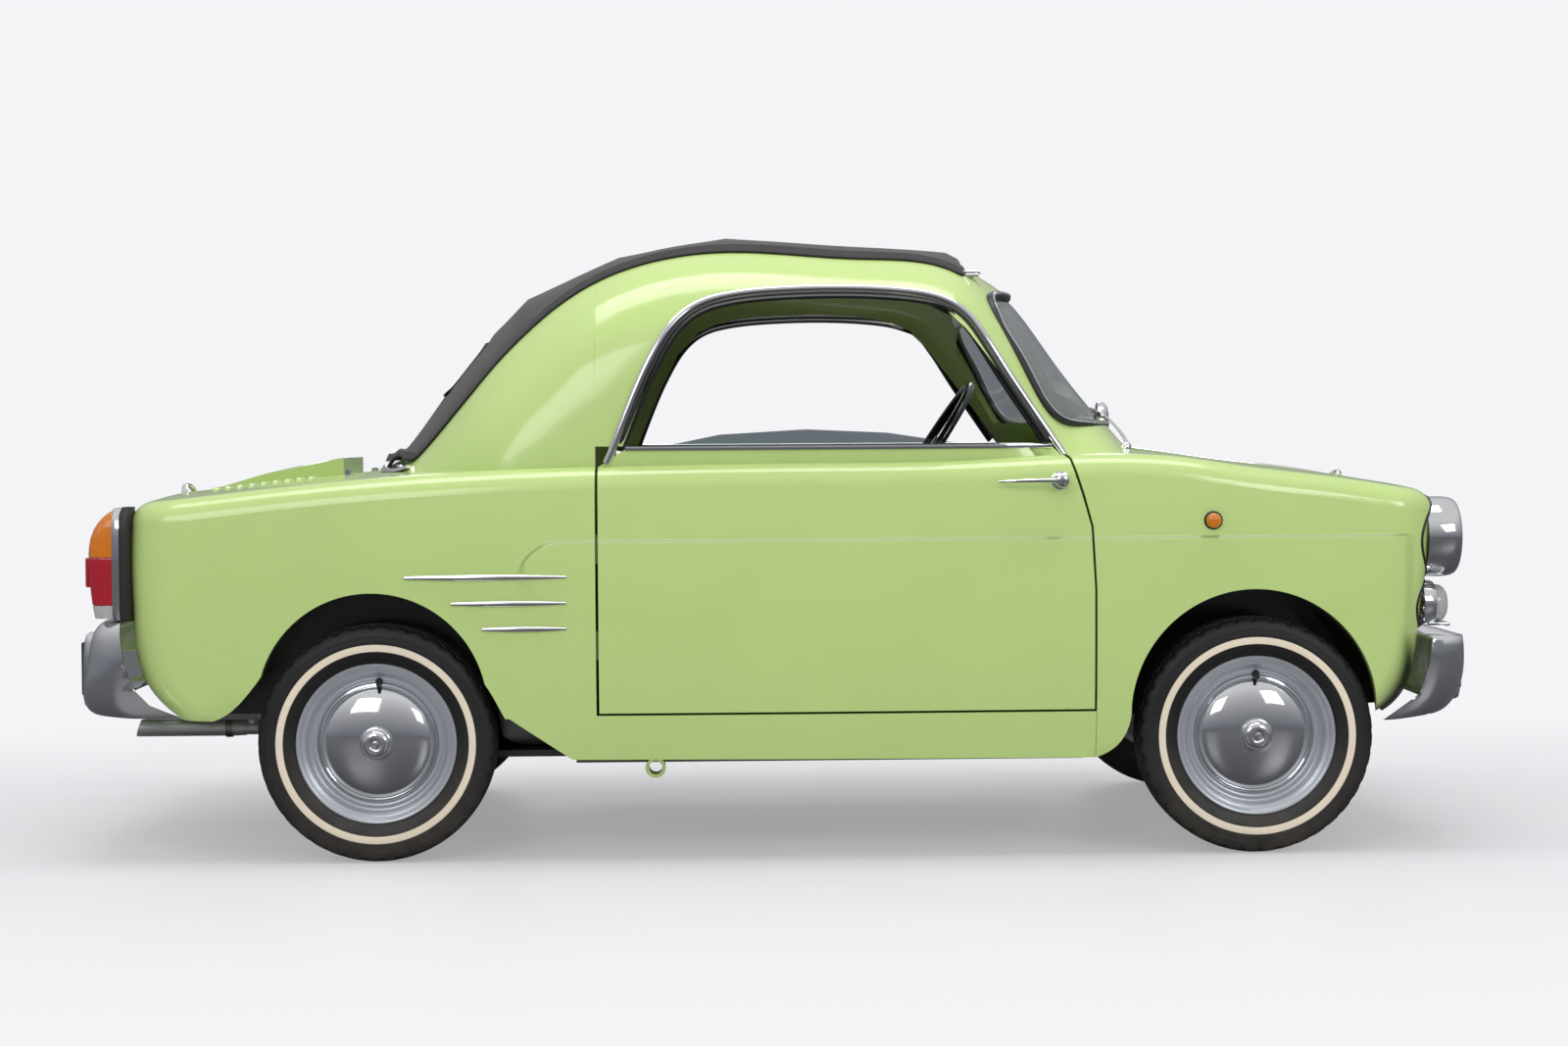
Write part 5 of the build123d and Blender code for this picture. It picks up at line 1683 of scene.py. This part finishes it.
@dataclass
class Seats:
    """The two front seats and the rear bench: padded, with sewn channels and piping."""

    middle: float = 0.3
    cushion: tuple[Flat, ...] = ((-0.122, 0.328), (-0.132, 0.392), (0.284, 0.421), (0.308, 0.398),
                                 (0.308, 0.338))
    back: tuple[Flat, ...] = ((-0.042, 0.42), (-0.136, 0.412), (-0.292, 0.796), (-0.276, 0.812),
                              (-0.222, 0.81))
    bench_cushion: tuple[Flat, ...] = ((-0.598, 0.232), (-0.598, 0.404), (-0.362, 0.41), (-0.357, 0.232))
    bench_back: tuple[Flat, ...] = ((-0.598, 0.426), (-0.598, 0.63), (-0.555, 0.63), (-0.53, 0.428))
    half: float = 0.205
    bench_half: float = 0.436
    channel: float = 0.052
    padding: Padding = field(default_factory=Padding)

    def build(self, box: Paintbox) -> None:
        """Pad one seat and the bench, then copy the seat to the other side."""
        grey = box["Grey leathercloth"]
        low, high = -self.middle - self.half, -self.middle + self.half
        cushion = self._pad(self.cushion, low, high, "passenger_seat_cushion", grey,
                            Vector((-0.07, 0, 1)).normalized())
        back = self._pad(self.back, low, high, "passenger_seat_back", grey,
                         Vector((0.91, 0, 0.4)).normalized())
        for piece in (cushion, back):
            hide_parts("passenger_seat")
            twin = again(piece, piece.name.replace("passenger", "driver"), "body")
            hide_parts("driver_seat")
        for piece, name in ((cushion, "cushion"), (back, "back")):
            pipe = self._piping(piece, f"passenger_seat_{name}_piping", box, low, high, name == "back")
            again(pipe, f"driver_seat_{name}_piping", "body")
        for outline, name, facing in ((self.bench_cushion, "rear_bench_cushion", Vector((0, 0, 1))),
                                      (self.bench_back, "rear_bench_back", Vector((0.97, 0, 0.24)))):
            piece = self._pad(outline, -self.bench_half, self.bench_half, name, grey, facing)
            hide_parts("rear_bench")
        log.info("seats and bench padded")

    def _pad(self, outline: tuple[Flat, ...], low: float, high: float, name: str,
             material: bpy.types.Material, facing: Vector) -> bpy.types.Object:
        """One stuffed piece with its channels sewn into the face that is sat on."""
        obj = outline_prism(outline, low, high, 0.016)
        self.padding.swell(obj)
        middle = (low + high) / 2
        reach = (high - low) / 2 - 0.045
        normals = [corner.normal.copy() for corner in obj.data.vertices]
        for corner, normal in zip(obj.data.vertices, normals):
            if normal.dot(facing) < 0.75 or abs(corner.co.y - middle) > reach:
                continue
            offset = ((corner.co.y - middle) / self.channel) % 1.0
            groove = max(0.0, 1.0 - abs(offset - 0.5) * 2 / 0.16)
            corner.co -= facing * 0.0055 * groove * groove * (3 - 2 * groove)
        return settle(obj, name, material, 60)

    def _piping(self, pad: bpy.types.Object, name: str, box: Paintbox, low: float, high: float,
                upright: bool) -> bpy.types.Object:
        """The sewn cord round the edge of the face that is sat on."""
        rows = [corner.co for corner in pad.data.vertices]
        middle = sum(rows, Vector()) / len(rows)
        points = []
        length = 0.195
        for x, y in rounded_ring(-length, length, (high - low) / 2 - 0.014, 0.05):
            if upright:
                target = Vector((0.199, (low + high) / 2 + y, 0.742)) + Vector((-0.39, 0, 0.92)) * x
            else:
                target = Vector((0.082 + x, (low + high) / 2 + y, middle.z + 0.3))
            found, place, normal, _ = pad.closest_point_on_mesh(target)
            if found:
                points.append(place + normal * 0.001)
        return settle(swept(points, oval(0.007, 0.007, 8), closed=True), name, box["Piping"], 60)


@dataclass
class Cabin:
    """What shows inside: dials, door cards, mats, levers, pedals and mirror."""

    dial: Point = (0.585, 0.3, 0.806)

    def build(self, box: Paintbox) -> None:
        """Build the cabin's pieces."""
        self._dials(box)
        self._mirror(box)
        self._mats(box)
        self._door_cards(box)
        self._controls(box)
        log.info("cabin pieces")

    def _dials(self, box: Paintbox) -> None:
        """One round dial in a chrome bezel before the driver, three knobs and an ashtray lid."""
        face = turned([(0.046, 0.0), (0.046, -0.004), (0.0, -0.004)], self.dial, "X", 1, 48)
        settle(face, "speed_dial_face", box["Dial face"], 40)
        bezel = turned([(0.044, -0.002), (0.046, -0.008), (0.05, -0.01), (0.054, -0.007), (0.055, 0.001),
                        (0.0475, 0.001), (0.0455, -0.001)], self.dial, "X", 1, 48)
        settle(bezel, "speed_dial_bezel", box["Bright chrome"], 50)
        needle = blocked((0.58, 0.288, 0.815), (0.0016, 0.04, 0.0026), 0.0007)
        settle(needle, "speed_dial_needle", box["Red lens"])
        knobs = [turned([(0.0045, 0.0), (0.0045, -0.01), (0.0105, -0.012), (0.0115, -0.018),
                         (0.0095, -0.023), (0.0, -0.024)], (0.586, y, 0.8), "X", 1, 24)
                 for y in (0.16, 0.11, 0.06, -0.01)]
        settle(join(knobs), "dash_knobs", box["Black moulding"], 40)
        lid = blocked((0.5845, -0.12, 0.806), (0.004, 0.11, 0.036), 0.0018)
        settle(lid, "ashtray_lid", box["Bright chrome"])
        rail = [(0.604, y, 0.8585) for y in (-0.53, -0.2, 0.2, 0.53)]
        settle(swept(rail, oval(0.01, 0.008, 10)), "dash_top_rail", box["Black moulding"], 60)

    def _mirror(self, box: Paintbox) -> None:
        """The inside mirror on its stalk under the header."""
        shell = stacked([((0.436, 0, 1.13), 0.006, 0.07), ((0.436, 0, 1.133), 0.009, 0.078),
                         ((0.43, 0, 1.148), 0.011, 0.082), ((0.424, 0, 1.163), 0.009, 0.078),
                         ((0.423, 0, 1.166), 0.006, 0.07)], 3.0, 32)
        settle(shell, "inside_mirror_shell", box["Bright chrome"], 40)
        stalk = swept([(0.436, 0, 1.15), (0.448, 0, 1.175), (0.44, 0, 1.205), (0.432, 0, 1.216)],
                      oval(0.008, 0.008, 10))
        settle(stalk, "inside_mirror_stalk", box["Bright chrome"], 60)

    def _mats(self, box: Paintbox) -> None:
        """Ribbed rubber mats on the floor, either side of the tunnel."""
        mat = blocked((0.22, -0.322, 0.2175), (0.78, 0.47, 0.006), 0.0025, 2)
        mat = settle(mat, "passenger_floor_mat", box["Rubber mat"])
        again(mat, "driver_floor_mat", "body")

    def _door_cards(self, box: Paintbox) -> None:
        """Trim panels on the doors, with a bright bead and a latch handle."""
        card = blocked((0.14, -0.564, 0.58), (0.94, 0.0035, 0.47), 0.0015, 2)
        pair(card, "door_card", box["Grey leathercloth"], body="right_door")
        rail = [(x, -0.5605, 0.745) for x in (-0.3, 0.0, 0.3, 0.58)]
        pair(swept(rail, oval(0.007, 0.007, 8)), "door_card_bead", box["Bright chrome"], 60, "right_door")
        lever = swept([(0.47, -0.56, 0.7), (0.47, -0.545, 0.7), (0.455, -0.54, 0.698),
                       (0.395, -0.54, 0.694)], oval(0.011, 0.008, 10), taper=[1.3, 1.0, 1.0, 0.7])
        pair(lever, "inside_handle", box["Bright chrome"], 60, "right_door")

    def _controls(self, box: Paintbox) -> None:
        """Gear lever, handbrake and three pedals."""
        lever = swept([(0.26, 0, 0.298), (0.255, 0, 0.36), (0.225, 0, 0.45), (0.205, 0, 0.5)],
                      oval(0.01, 0.01, 10))
        settle(lever, "gear_lever", box["Bright chrome"], 60)
        knob = turned([(0.006, -0.012), (0.016, -0.008), (0.0205, 0.004), (0.017, 0.016), (0.008, 0.022),
                       (0.0, 0.0235)], (0.203, 0, 0.505), "Z", 1, 24)
        settle(knob, "gear_lever_knob", box["Black moulding"], 50)
        boot = turned([(0.045, 0.0), (0.042, 0.006), (0.03, 0.01), (0.033, 0.018), (0.02, 0.024),
                       (0.022, 0.032), (0.009, 0.04), (0.0, 0.0405)], (0.26, 0, 0.299), "Z", 1, 32)
        settle(boot, "gear_lever_boot", box["Seal rubber"], 50)
        brake = swept([(0.02, 0, 0.3), (-0.03, 0, 0.335), (-0.11, 0, 0.375), (-0.2, 0, 0.402)],
                      oval(0.016, 0.012, 10))
        settle(brake, "hand_brake", box["Black moulding"], 60)
        for name, y in (("throttle", 0.215), ("brake", 0.3), ("clutch", 0.385)):
            pad = blocked((0.56, y, 0.335), (0.014, 0.052, 0.058), 0.005)
            arm = swept([(0.566, y, 0.335), (0.592, y, 0.34), (0.618, y, 0.44), (0.64, y, 0.52)],
                        oval(0.01, 0.01, 8))
            settle(join([pad, arm]), f"{name}_pedal", box["Black moulding"], 50)


def main() -> None:
    """Build the sub-assemblies in order."""
    logging.basicConfig(level=logging.INFO, format="%(message)s")
    rest_all()
    box = Paintbox()
    Studio().build()
    Carcass().dress(box)
    Wheel().build(box)
    FabricRoof().build(box)
    WindowTrim().build(box)
    FrontLamps().build(box)
    TailLamps().build(box)
    Bumpers().build(box)
    BodyDetails().build(box)
    Seats().build(box)
    Cabin().build(box)


if __name__ == "__main__":
    main()
